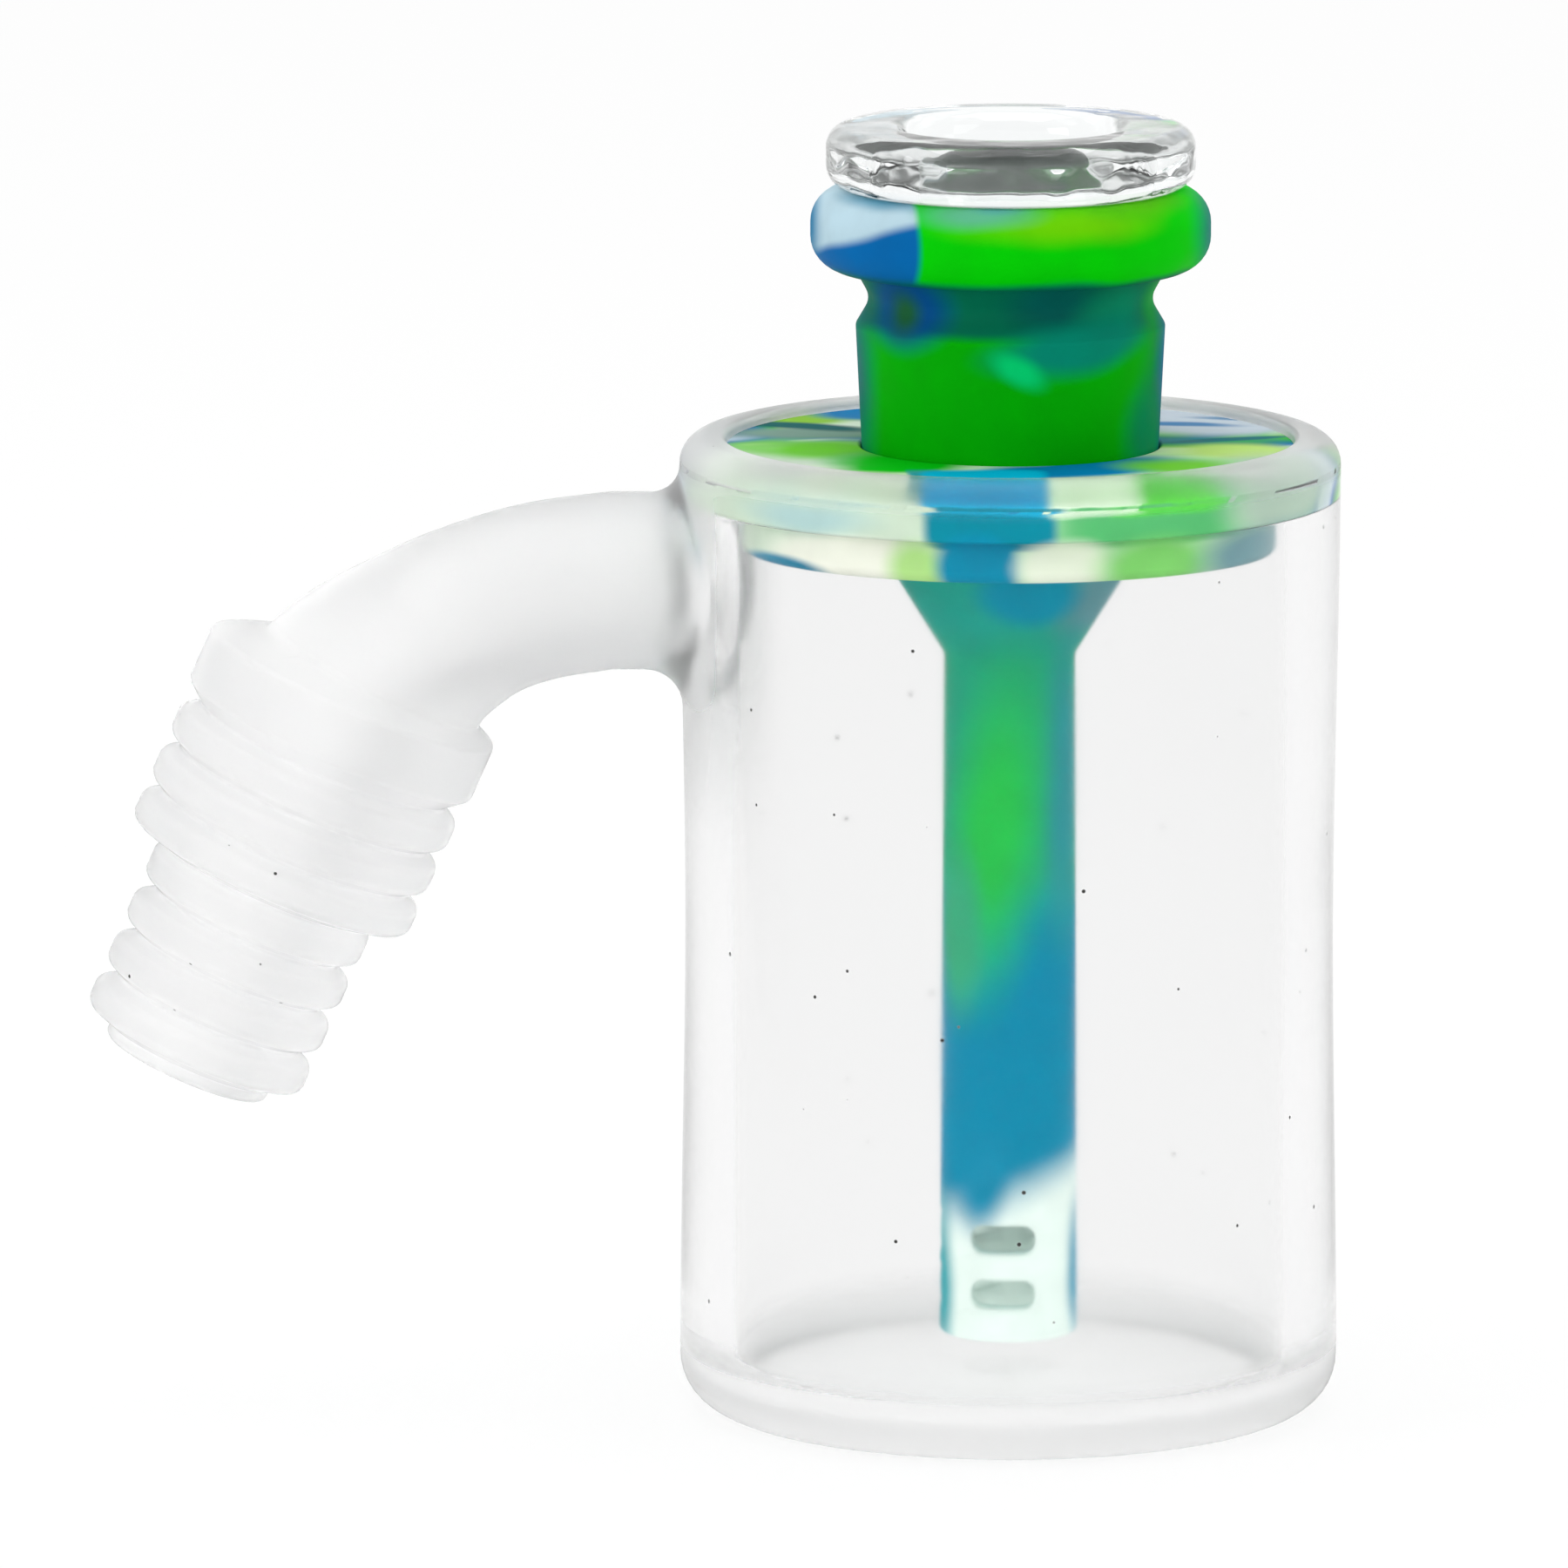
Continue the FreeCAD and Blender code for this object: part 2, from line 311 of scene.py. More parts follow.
class Skin:
    """A closed skin of quads that grows ring by ring."""

    def __init__(self) -> None:
        """Start with an empty skin."""
        self.mesh = bmesh.new()

    def ring(self, points: Iterable[Vector]) -> Ring:
        """Add one ring of vertices."""
        return [self.mesh.verts.new(point) for point in points]

    def join(self, first: Ring, second: Ring) -> None:
        """Fill between two closed rings.

        Args:
            first: One ring.
            second: The other, with as many vertices.
        """
        for index in range(len(first)):
            corners = (first[index - 1], first[index], second[index], second[index - 1])
            self.mesh.faces.new(corners)

    def bridge(self, start: Ring, rows: Iterable[Iterable[Vector]], end: Ring) -> None:
        """Fill from one ring to another through rows of points.

        Args:
            start: The first ring.
            rows: The rows between, each with as many points.
            end: The last ring.
        """
        last = start
        for row in rows:
            ring = self.ring(row)
            self.join(last, ring)
            last = ring
        self.join(last, end)

    def cap(self, ring: Ring) -> None:
        """Close a flat ring towards its middle.

        Args:
            ring: The ring.
        """
        middle = self.mesh.verts.new(sum((v.co for v in ring), Vector()) / len(ring))
        for index in range(len(ring)):
            self.mesh.faces.new((ring[index - 1], ring[index], middle))

    def turn(
        self,
        profile: Sequence[Point],
        columns: int,
        start: float = 0.0,
        windows: Sequence[Window] = (),
        closed: bool = True,
    ) -> list[Ring]:
        """Turn a profile about the axis.

        Args:
            profile: Radius and height of each row.
            columns: Faces round the axis.
            start: Direction of the first column, in radians.
            windows: Blocks of faces to leave out.
            closed: Whether the last row runs on to the first.

        Returns:
            The rows of vertices.
        """
        angles = [start + math.tau * column / columns for column in range(columns)]
        rings = [
            self.ring(Vector((r * math.cos(a), r * math.sin(a), z)) for a in angles)
            for r, z in profile
        ]
        for row in range(len(rings) if closed else len(rings) - 1):
            lower, upper = rings[row], rings[(row + 1) % len(rings)]
            for column in range(columns):
                if not any(window.covers(row, column) for window in windows):
                    beside = (column + 1) % columns
                    corners = (lower[column], lower[beside], upper[beside], upper[column])
                    self.mesh.faces.new(corners)
        return rings

    def finish(self, name: str) -> bpy.types.Object:
        """Make the skin an object, in metres, with smooth shading.

        Args:
            name: The piece's name.

        Returns:
            The new object.
        """
        bmesh.ops.recalc_face_normals(self.mesh, faces=self.mesh.faces)
        self.mesh.transform(Matrix.Scale(MM, 4))
        data = bpy.data.meshes.new(name)
        self.mesh.to_mesh(data)
        self.mesh.free()
        data.shade_smooth()
        piece = bpy.data.objects.new(name, data)
        bpy.context.scene.collection.objects.link(piece)
        even = piece.modifiers.new("even_normals", "WEIGHTED_NORMAL")
        even.keep_sharp = True
        return piece


# Finishes


class Patches(NamedTuple):
    """Soft patches of a value: their size, their layers, and the value's range."""

    size_mm: float
    layers: float
    values: Point
    span: Point = (0.3, 0.7)


class Ripple(NamedTuple):
    """A shallow relief: its size, its layers, its depth in metres and how strongly it shows."""

    size_mm: float
    layers: float
    depth: float
    strength: float = 0.5


class Span(NamedTuple):
    """A stretch of an axis, from where a zone begins to where it is full."""

    axis: str
    none: float
    full: float


def linear(colour: str) -> tuple[float, float, float, float]:
    """Turn an sRGB hex colour into linear values.

    Args:
        colour: The colour, as #RRGGBB.

    Returns:
        Linear red, green and blue, and an alpha of 1.
    """
    parts = [int(colour[start : start + 2], 16) / 255 for start in (1, 3, 5)]
    red, green, blue = (
        part / 12.92 if part <= 0.04045 else ((part + 0.055) / 1.055) ** 2.4 for part in parts
    )
    return red, green, blue, 1.0


def add_node(
    tree: Tree, kind: str, inputs: dict[str | int, Any] | None = None, **settings: Any
) -> Outputs:
    """Add a node to a tree with its settings, values and links.

    Args:
        tree: The tree to add to.
        kind: The node's type, without the words ShaderNode.
        inputs: Values, or sockets to link from, by the name or number of the input.
        **settings: Attributes of the node.

    Returns:
        The new node's outputs.
    """
    node = tree.nodes.new(f"ShaderNode{kind}")
    for name, value in settings.items():
        setattr(node, name, value)
    for key, value in (inputs or {}).items():
        if isinstance(value, Socket):
            tree.links.new(value, node.inputs[key])
        else:
            node.inputs[key].default_value = value
    return node.outputs


def new_material(name: str) -> tuple[bpy.types.Material, Tree]:
    """Start a material with no nodes.

    Args:
        name: What the material is and how its surface was made.

    Returns:
        The material and its empty tree.
    """
    material = bpy.data.materials.new(name)
    material.use_nodes = True
    material.node_tree.nodes.clear()
    return material, material.node_tree


def place_in_mm(tree: Tree) -> Socket:
    """Return the place on the piece, in millimetres, as a socket."""
    where = add_node(tree, "TexCoord")["Object"]
    return add_node(tree, "VectorMath", {0: where, "Scale": PER_METRE}, operation="SCALE")[0]


def patchy(tree: Tree, place: Socket, patches: Patches) -> Socket:
    """Vary a value in soft patches.

    Args:
        tree: The material's tree.
        place: The place on the piece, in millimetres.
        patches: The patches' size and the value's range.

    Returns:
        The value, as a socket.
    """
    noise = add_node(
        tree,
        "TexNoise",
        {"Vector": place, "Scale": 1 / patches.size_mm, "Detail": patches.layers},
    )
    (low, high), (least, most) = patches.span, patches.values
    ends = {"From Min": low, "From Max": high, "To Min": least, "To Max": most}
    return add_node(tree, "MapRange", {"Value": noise["Fac"], **ends})["Result"]


def rippled(tree: Tree, place: Socket, ripple: Ripple) -> Socket:
    """Tilt a surface by a shallow relief.

    Args:
        tree: The material's tree.
        place: The place on the piece, in millimetres.
        ripple: The relief.

    Returns:
        The surface's normal, as a socket.
    """
    noise = add_node(
        tree,
        "TexNoise",
        {"Vector": place, "Scale": 1 / ripple.size_mm, "Detail": ripple.layers},
    )
    relief = {"Strength": ripple.strength, "Distance": ripple.depth}
    return add_node(tree, "Bump", {"Height": noise["Fac"], **relief})["Normal"]


def beyond(tree: Tree, parts: Outputs, spans: Sequence[Span]) -> Socket:
    """Mark what lies far enough along one or more axes.

    Args:
        tree: The tree to add to.
        parts: The outputs that give the place on each axis.
        spans: Where the mark begins and is full, on each axis.

    Returns:
        1 where every span is full and 0 where any hasn't begun, as a socket.
    """
    marks = [
        add_node(
            tree,
            "MapRange",
            {"Value": parts[span.axis], "From Min": span.none, "From Max": span.full},
            interpolation_type="SMOOTHSTEP",
        )["Result"]
        for span in spans
    ]
    whole = marks[0]
    for mark in marks[1:]:
        whole = add_node(tree, "Math", {0: whole, 1: mark}, operation="MULTIPLY")[0]
    return whole


def shade(tree: Tree, inputs: dict[str | int, Any]) -> None:
    """Give a material its shader, with the given values and links."""
    shader = add_node(tree, "BsdfPrincipled", inputs)
    add_node(tree, "OutputMaterial", {"Surface": shader["BSDF"]})


class Finish:
    """A surface that can be put on a piece."""

    def build(self) -> bpy.types.Material:
        """Return the finish as a material."""
        raise NotImplementedError


@dataclass(frozen=True)
class PigmentOrPaintedLight:
    """One patch of colour in the marbled silicone, an ellipsoid or soft box with a soft edge: a
    drift of pigment, or painted shade, sheen or light where the patch is marked so.
    """

    colour: str
    centre: Triple
    reach: Triple
    edge: float = 0.3
    turn: Triple = (0.0, 0.0, 0.0)
    boxy: bool = False


@dataclass(frozen=True)
class MarbledSilicone(Finish):
    """Platinum-cured silicone, moulded from hand-mixed pigments.

    The eye sees drifts of saturated colour that bleed into each other at some borders and stop
    sharply at others, under a satin skin that spreads highlights widely. In the downstem some
    patches are painted light: painted shade down its sides, in its groove, under its rim and where
    the lid and the glass meet it, painted sheen on the rim's front, and paler walls in its front
    slots against their shade.
    """

    name: str
    ground: tuple[str, ...]
    pigment_and_painted_light: tuple[PigmentOrPaintedLight, ...]
    ground_mm: float = 9.0
    ground_layers: float = 0.6
    ground_fold: float = 0.9
    ground_span: Point = (0.34, 0.66)
    drift_mm: float = 7.0
    drift_layers: float = 1.0
    drift_roughness: float = 0.4
    drift_reach: float = 0.5
    cloud: Patches = Patches(3.0, 3.0, (0.95, 1.05))
    satin: Patches = Patches(3.0, 3.0, (0.52, 0.66))
    skin: Ripple = Ripple(0.6, 2.0, 0.00002, 0.4)
    ior: float = 1.41
    shine: float = 0.05
    glow: float = 0.08
    glow_mm: float = 1.2

    def build(self) -> bpy.types.Material:
        """Build the finish's nodes.

        Returns:
            The finish as a material.
        """
        material, tree = new_material(self.name)
        place = place_in_mm(tree)
        drifted = self.drifted(tree, place)
        colour = self.ground_colour(tree, drifted)
        for pigment_or_light in self.pigment_and_painted_light:
            colour = self.lay(tree, pigment_or_light, drifted, colour)
        cloud = patchy(tree, drifted, self.cloud)
        clouded = add_node(tree, "HueSaturation", {"Value": cloud, "Color": colour})
        shade(
            tree,
            {
                "Base Color": clouded["Color"],
                "Roughness": patchy(tree, drifted, self.satin),
                "Normal": rippled(tree, place, self.skin),
                "IOR": self.ior,
                "Specular IOR Level": self.shine,
                "Subsurface Weight": self.glow,
                "Subsurface Radius": (1.0, 1.0, 1.0),
                "Subsurface Scale": self.glow_mm * MM,
            },
        )
        return material

    def drifted(self, tree: Tree, place: Socket) -> Socket:
        """Push the place on the piece about, so that borders wander.

        Args:
            tree: The material's tree.
            place: The place on the piece, in millimetres.

        Returns:
            The drifted place, as a socket.
        """
        wander = add_node(
            tree,
            "TexNoise",
            {
                "Vector": place,
                "Scale": 1 / self.drift_mm,
                "Detail": self.drift_layers,
                "Roughness": self.drift_roughness,
            },
        )
        evened = {0: wander["Color"], 1: (0.5, 0.5, 0.5)}
        drift = add_node(tree, "VectorMath", evened, operation="SUBTRACT")[0]
        pushed = {0: drift, 1: (2 * self.drift_reach,) * 3, 2: place}
        return add_node(tree, "VectorMath", pushed, operation="MULTIPLY_ADD")[0]

    def ground_colour(self, tree: Tree, place: Socket) -> Socket:
        """Mix the pigments that lie under the placed patches.

        Args:
            tree: The material's tree.
            place: The drifted place on the piece.

        Returns:
            The colour, as a socket.
        """
        folds = add_node(
            tree,
            "TexNoise",
            {
                "Vector": place,
                "Scale": 1 / self.ground_mm,
                "Detail": self.ground_layers,
                "Distortion": self.ground_fold,
            },
        )
        colour = add_node(tree, "ValToRGB", {"Fac": folds["Fac"]})["Color"]
        stops = colour.node.color_ramp.elements
        for index, at in enumerate(evenly(*self.ground_span, len(self.ground) - 1)):
            stop = stops[index] if index < 2 else stops.new(at)
            stop.position = at
            stop.color = linear(self.ground[index])
        return colour

    def lay(self, tree: Tree, pigment_or_light: PigmentOrPaintedLight, place: Socket, under: Socket) -> Socket:
        """Lay one patch, of pigment or of painted light, over the colours so far.

        Args:
            tree: The material's tree.
            pigment_or_light: The patch.
            place: The drifted place on the piece.
            under: The colour so far.

        Returns:
            The new colour, as a socket.
        """
        spread = add_node(
            tree,
            "Mapping",
            {
                "Vector": place,
                "Location": pigment_or_light.centre,
                "Rotation": tuple(math.radians(turn) for turn in pigment_or_light.turn),
                "Scale": pigment_or_light.reach,
            },
            vector_type="TEXTURE",
        )[0]
        power = 1
        while pigment_or_light.boxy and power < BOX_POWER:
            spread = add_node(tree, "VectorMath", {0: spread, 1: spread}, operation="MULTIPLY")[0]
            power *= 2
        reach = add_node(tree, "VectorMath", {0: spread}, operation="LENGTH")["Value"]
        share = add_node(
            tree,
            "MapRange",
            {
                "Value": reach,
                "From Min": (1 - pigment_or_light.edge) ** power,
                "From Max": (1 + pigment_or_light.edge) ** power,
                "To Min": 1.0,
                "To Max": 0.0,
            },
            interpolation_type="SMOOTHSTEP",
        )["Result"]
        layers = {0: share, MIX_A: under, MIX_B: linear(pigment_or_light.colour)}
        return add_node(tree, "Mix", layers, data_type="RGBA")[MIX_RESULT]


@dataclass(frozen=True)
class Zone:
    """A frostier, milkier or greyer part of the clear moulding: where it is and what it adds."""

    spans: tuple[Span, ...]
    frost: float = 0.0
    milk: float = 0.0
    tint: str | None = None


@dataclass(frozen=True)
class ClearSilicone(Finish):
    """Clear liquid silicone rubber, moulded against a polished tool with a satin arm and plug.

    The eye looks through the walls as through a thin fog, while the thick arm and plug turn into an
    even pale grey, and dust that the soft skin picks up shows as dark specks.
    """

    name: str = "clear liquid silicone rubber, satin moulded"
    tint: str = "#F9F9F9"
    glint: str = "#5A5A5A"
    ior: float = 1.41
    haze: Patches = Patches(14.0, 3.0, (0.06, 0.12))
    milk: float = 0.002
    zones: tuple[Zone, ...] = (
        # Arm, its root and the plug
        Zone((Span("X", -22.0, -24.0),), 0.30, 0.10),
        Zone((Span("X", -17.0, -20.5), Span("Z", 36.0, 48.0)), 0.15, 0.20),
        Zone((Span("X", -18.0, -20.5), Span("Z", 46.5, 49.5)), 0.15),
        Zone((Span("X", -36.0, -42.0),), 0.30),
        Zone((Span("X", -21.0, -30.0),), tint="#F4F4F4"),
        Zone((Span("X", -36.0, -46.0),), tint="#F7F7F7"),
        # Lip
        Zone((Span("Z", 61.4, 62.4),), 0.27, 0.02),
        Zone((Span("Z", 61.0, 64.0), Span("Y", -17.0, -7.0)), 0.00, 0.30),
        # Foot
        Zone((Span("Z", 5.5, 3.0),), 0.38, 0.20, "#F5F5F5"),
    )
    wave: Ripple = Ripple(11.0, 1.0, 0.000012)
    speck: str = "#3C3C3A"
    speck_spacing_mm: float = 4.0
    speck_mm: float = 0.15
    speck_core: float = 0.7

    def build(self) -> bpy.types.Material:
        """Build the finish's nodes.

        Returns:
            The finish as a material.
        """
        material, tree = new_material(self.name)
        place = place_in_mm(tree)
        parts = add_node(tree, "SeparateXYZ", {0: place})
        frost = patchy(tree, place, self.haze)
        clean = self.clean(tree, place)
        clear = add_node(tree, "Math", {0: clean, 1: 1 - self.milk}, operation="MULTIPLY")[0]
        tint: Any = linear(self.tint)
        for zone in self.zones:
            inside = beyond(tree, parts, zone.spans)
            frosted = {0: inside, 1: zone.frost, 2: frost}
            frost = add_node(tree, "Math", frosted, operation="MULTIPLY_ADD")[0]
            milky = {0: inside, 1: -zone.milk, 2: clear}
            clear = add_node(tree, "Math", milky, operation="MULTIPLY_ADD", use_clamp=True)[0]
            if zone.tint:
                tints = {0: inside, MIX_A: tint, MIX_B: linear(zone.tint)}
                tint = add_node(tree, "Mix", tints, data_type="RGBA")[MIX_RESULT]
        dusted = {0: clean, MIX_A: linear(self.speck), MIX_B: tint}
        shade(
            tree,
            {
                "Base Color": add_node(tree, "Mix", dusted, data_type="RGBA")[MIX_RESULT],
                "Roughness": frost,
                "Transmission Weight": clear,
                "Normal": rippled(tree, place, self.wave),
                "IOR": self.ior,
                "Specular Tint": linear(self.glint),
            },
        )
        return material

    def clean(self, tree: Tree, place: Socket) -> Socket:
        """Find the skin between the specks of dust.

        Args:
            tree: The material's tree.
            place: The place on the piece, in millimetres.

        Returns:
            1 on clean skin and 0 on a speck, as a socket.
        """
        grid = {"Vector": place, "Scale": 1 / self.speck_spacing_mm}
        dust = add_node(tree, "TexVoronoi", grid)["Distance"]
        limit = self.speck_mm / self.speck_spacing_mm
        ends = {"From Min": limit * self.speck_core, "From Max": limit}
        return add_node(tree, "MapRange", {"Value": dust, **ends})["Result"]


@dataclass(frozen=True)
class ClearGlass(Finish):
    """Borosilicate glass, pressed and fire polished, with a ground seat.

    The eye sees hard bright and dark bands where the thick disc bends its surroundings, slightly
    wavy because the flame softened the skin, and the white frost of the ground seat through it.
    """

    name: str = "borosilicate glass, fire polished, ground seat"
    tint: str = "#FBFDFD"
    ior: float = 1.47
    polish: Patches = Patches(5.0, 4.0, (0.0, 0.03), (0.45, 0.8))
    wave: Ripple = Ripple(3.0, 1.0, 0.0005)
    ground_tint: str = "#B8BCBA"
    ground_frost: float = 0.2
    ground_milk: float = 0.32
    stem: Taper = SOCKET
    stem_skin_mm: float = 0.35
    ground_edge_mm: Point = (0.1, 0.35)

    def build(self) -> bpy.types.Material:
        """Build the finish's nodes.

        Returns:
            The finish as a material.
        """
        material, tree = new_material(self.name)
        place = place_in_mm(tree)
        ground = self.ground(tree, place)
        frosted = {0: ground, 1: self.ground_frost, 2: patchy(tree, place, self.polish)}
        milky = {0: ground, 1: -self.ground_milk, 2: 1.0}
        tints = {0: ground, MIX_A: linear(self.tint), MIX_B: linear(self.ground_tint)}
        shade(
            tree,
            {
                "Base Color": add_node(tree, "Mix", tints, data_type="RGBA")[MIX_RESULT],
                "Roughness": add_node(tree, "Math", frosted, operation="MULTIPLY_ADD")[0],
                "Transmission Weight": add_node(tree, "Math", milky, operation="MULTIPLY_ADD")[0],
                "Normal": rippled(tree, place, self.wave),
                "IOR": self.ior,
            },
        )
        return material

    def ground(self, tree: Tree, place: Socket) -> Socket:
        """Find the ground seat: the outside of the stem and the underside of the disc.

        Args:
            tree: The material's tree.
            place: The place on the piece, in millimetres.

        Returns:
            1 on the ground seat and 0 elsewhere, as a socket.
        """
        parts = add_node(tree, "SeparateXYZ", {0: place})
        level = add_node(tree, "CombineXYZ", {"X": parts["X"], "Y": parts["Y"]})[0]
        radius = add_node(tree, "VectorMath", {0: level}, operation="LENGTH")["Value"]
        tapered = {0: parts["Z"], 1: -self.stem.per_side, 2: radius}
        beside = add_node(tree, "Math", tapered, operation="MULTIPLY_ADD")[0]
        skin = self.stem.at(0.0) - self.stem_skin_mm
        outside = add_node(tree, "Math", {0: beside, 1: skin}, operation="GREATER_THAN")[0]
        low, high = self.ground_edge_mm
        below = beyond(tree, parts, [Span("Z", self.stem.z + high, self.stem.z + low)])
        return add_node(tree, "Math", {0: outside, 1: below}, operation="MULTIPLY")[0]


@dataclass(frozen=True)
class PaperFloor(Finish):
    """White seamless background paper, matt.

    The eye sees plain white that keeps a faint shadow under the object.
    """

    name: str = "seamless background paper, matt white"
    paper: str = "#F4F4F4"
    bright: float = 0.86
    shadow_share: float = 0.16
    through: float = 1.5

    def build(self) -> bpy.types.Material:
        """Build the finish's nodes.

        Returns:
            The finish as a material.
        """
        material, tree = new_material(self.name)
        matt = add_node(tree, "BsdfDiffuse", {"Color": linear(self.paper)})[0]
        white = add_node(tree, "Emission", {"Strength": self.bright / (1 - self.shadow_share)})[0]
        seen = add_node(tree, "MixShader", {0: self.shadow_share, 1: white, 2: matt})[0]
        behind = add_node(tree, "LightPath")["Is Transmission Ray"]
        beneath = add_node(tree, "Emission", {"Strength": self.through})[0]
        unseen = add_node(tree, "MixShader", {0: behind, 1: matt, 2: beneath})[0]
        mixed = add_node(tree, "MixShader", {0: looked_at(tree), 1: unseen, 2: seen})[0]
        add_node(tree, "OutputMaterial", {"Surface": mixed})
        return material


def looked_at(tree: Tree) -> Socket:
    """Tell what is looked at from what only gives light.

    Args:
        tree: The tree to add to.

    Returns:
        1 for what the camera sees directly, in a reflection or through clear pieces, as a socket.
    """
    path = add_node(tree, "LightPath")
    seen = path["Is Camera Ray"]
    for way in ("Is Glossy Ray", "Is Transmission Ray"):
        seen = add_node(tree, "Math", {0: seen, 1: path[way]}, operation="MAXIMUM")[0]
    unscattered = {0: path["Diffuse Depth"], 1: FIRST_SCATTER}
    straight = add_node(tree, "Math", unscattered, operation="LESS_THAN")[0]
    return add_node(tree, "Math", {0: seen, 1: straight}, operation="MULTIPLY")[0]


# Studio and camera


@dataclass(frozen=True)
class Softbox:
    """A soft lamp: where it stands, what it points at, its size and its power."""

    name: str
    stand: Triple
    size: Point
    power: float
    aim: Triple = (0.0, 0.0, 0.04)

    def build(self) -> None:
        """Add the lamp to the scene."""
        lamp = bpy.data.lights.new(self.name, "AREA")
        lamp.shape = "RECTANGLE"
        lamp.size, lamp.size_y = self.size
        lamp.energy = self.power
        holder = bpy.data.objects.new(self.name, lamp)
        holder.location = self.stand
        way = Vector(self.aim) - Vector(self.stand)
        holder.rotation_euler = way.to_track_quat("-Z", "Y").to_euler()
        bpy.context.scene.collection.objects.link(holder)


@dataclass
class Studio:
    """A white table with soft light round it, and the dark room behind the camera."""

    floor_half: float = 2.5
    level: float = 0.78
    top_share: float = 0.22
    front_share: float = 0.10
    through_share: float = 1.3
    white: str = "#FFFFFF"
    room: str = "#96989A"
    room_spans: tuple[Span, ...] = (Span("Z", 0.22, 0.50), Span("Y", -0.25, -0.60))
    lamps: tuple[Softbox, ...] = (
        Softbox("overhead softbox", (0.0, 0.05, 0.75), (0.6, 0.6), 1.6),
        Softbox("left softbox", (-0.7, -0.45, 0.35), (0.35, 0.6), 1.6),
        Softbox("right softbox", (0.7, -0.35, 0.4), (0.35, 0.6), 0.8),
    )

    def build(self) -> None:
        """Add the floor, the lamps and the surroundings."""
        self.lay_floor()
        for lamp in self.lamps:
            lamp.build()
        self.light_surroundings()
        bpy.context.scene.view_settings.view_transform = "Standard"

    def lay_floor(self) -> None:
        """Add the white paper floor."""
        half = self.floor_half
        data = bpy.data.meshes.new("paper_floor")
        corners = [(-half, -half, 0.0), (half, -half, 0.0), (half, half, 0.0), (-half, half, 0.0)]
        data.from_pydata(corners, [], [(0, 1, 2, 3)])
        data.materials.append(PaperFloor().build())
        floor = bpy.data.objects.new("paper_floor", data)
        bpy.context.scene.collection.objects.link(floor)

    def light_surroundings(self) -> None:
        """Set the light round the object, white where it is looked at, with the dark room.

        Lamps don't shine through the clear walls, so the surroundings are brighter there.
        """
        world = bpy.data.worlds.new("studio")
        world.use_nodes = True
        tree = world.node_tree
        tree.nodes.clear()
        way = add_node(tree, "TexCoord")["Generated"]
        path = add_node(tree, "LightPath")
        room = beyond(tree, add_node(tree, "SeparateXYZ", {0: way}), self.room_spans)
        unseen = add_node(tree, "Math", {0: 1.0, 1: path["Is Camera Ray"]}, operation="SUBTRACT")[0]
        dark = add_node(tree, "Math", {0: room, 1: unseen}, operation="MULTIPLY")[0]
        tints = {0: dark, MIX_A: linear(self.white), MIX_B: linear(self.room)}
        view = add_node(tree, "Mix", tints, data_type="RGBA")[MIX_RESULT]
        shown = add_node(tree, "Background", {"Color": view})[0]
        slope = {0: way, 1: (0.0, -self.front_share, self.top_share)}
        slant = add_node(tree, "VectorMath", slope, operation="DOT_PRODUCT")["Value"]
        level = add_node(tree, "Math", {0: slant, 1: self.level}, operation="ADD")[0]
        through = {0: path["Is Transmission Ray"], 1: self.through_share, 2: 1.0}
        boost = add_node(tree, "Math", through, operation="MULTIPLY_ADD")[0]
        strength = add_node(tree, "Math", {0: level, 1: boost}, operation="MULTIPLY")[0]
        light = add_node(tree, "Background", {"Strength": strength})[0]
        mixed = add_node(tree, "MixShader", {0: looked_at(tree), 1: light, 2: shown})[0]
        add_node(tree, "OutputWorld", {"Surface": mixed})
        bpy.context.scene.world = world


@dataclass
class PhotoCamera:
    """The photograph's camera: far off, a little above, with a long lens."""

    target: Triple = (-0.0147, 0.0, 0.04115)
    distance: float = 1.1
    elevation: float = 9.7
    focal_px: float = 19360.0
    frame_px: float = 1800.0
    sensor: float = 36.0
    clip_end: float = 20.0

    def build(self) -> None:
        """Add the camera and make it the scene's own."""
        lens = bpy.data.cameras.new("photo_camera")
        lens.sensor_fit = "HORIZONTAL"
        lens.sensor_width = self.sensor
        lens.lens = self.focal_px / self.frame_px * self.sensor
        lens.clip_end = self.clip_end
        camera = bpy.data.objects.new("photo_camera", lens)
        lift = math.radians(self.elevation)
        back = Vector((0.0, -math.cos(lift), math.sin(lift)))
        camera.location = Vector(self.target) + back * self.distance
        camera.rotation_euler = (math.pi / 2 - lift, 0.0, 0.0)
        bpy.context.scene.collection.objects.link(camera)
        bpy.context.scene.camera = camera


# Pieces


@dataclass
class Piece:
    """A piece of the object: its node, body and slot, and how it is built and dressed."""

    name: str
    node: Node
    body: Body
    slot: Slot
    finish: Finish

    def skin(self) -> Skin:
        """Return the piece's skin, in place."""
        raise NotImplementedError

    def build(self) -> bpy.types.Object:
        """Build the piece, dress it, and set it on its body in place of its node.

        Returns:
            The piece.
        """
        piece = self.skin().finish(self.name)
        piece.data.materials.append(self.finish.build())
        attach(piece, self.body.value)
        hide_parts(self.node.value)
        return piece


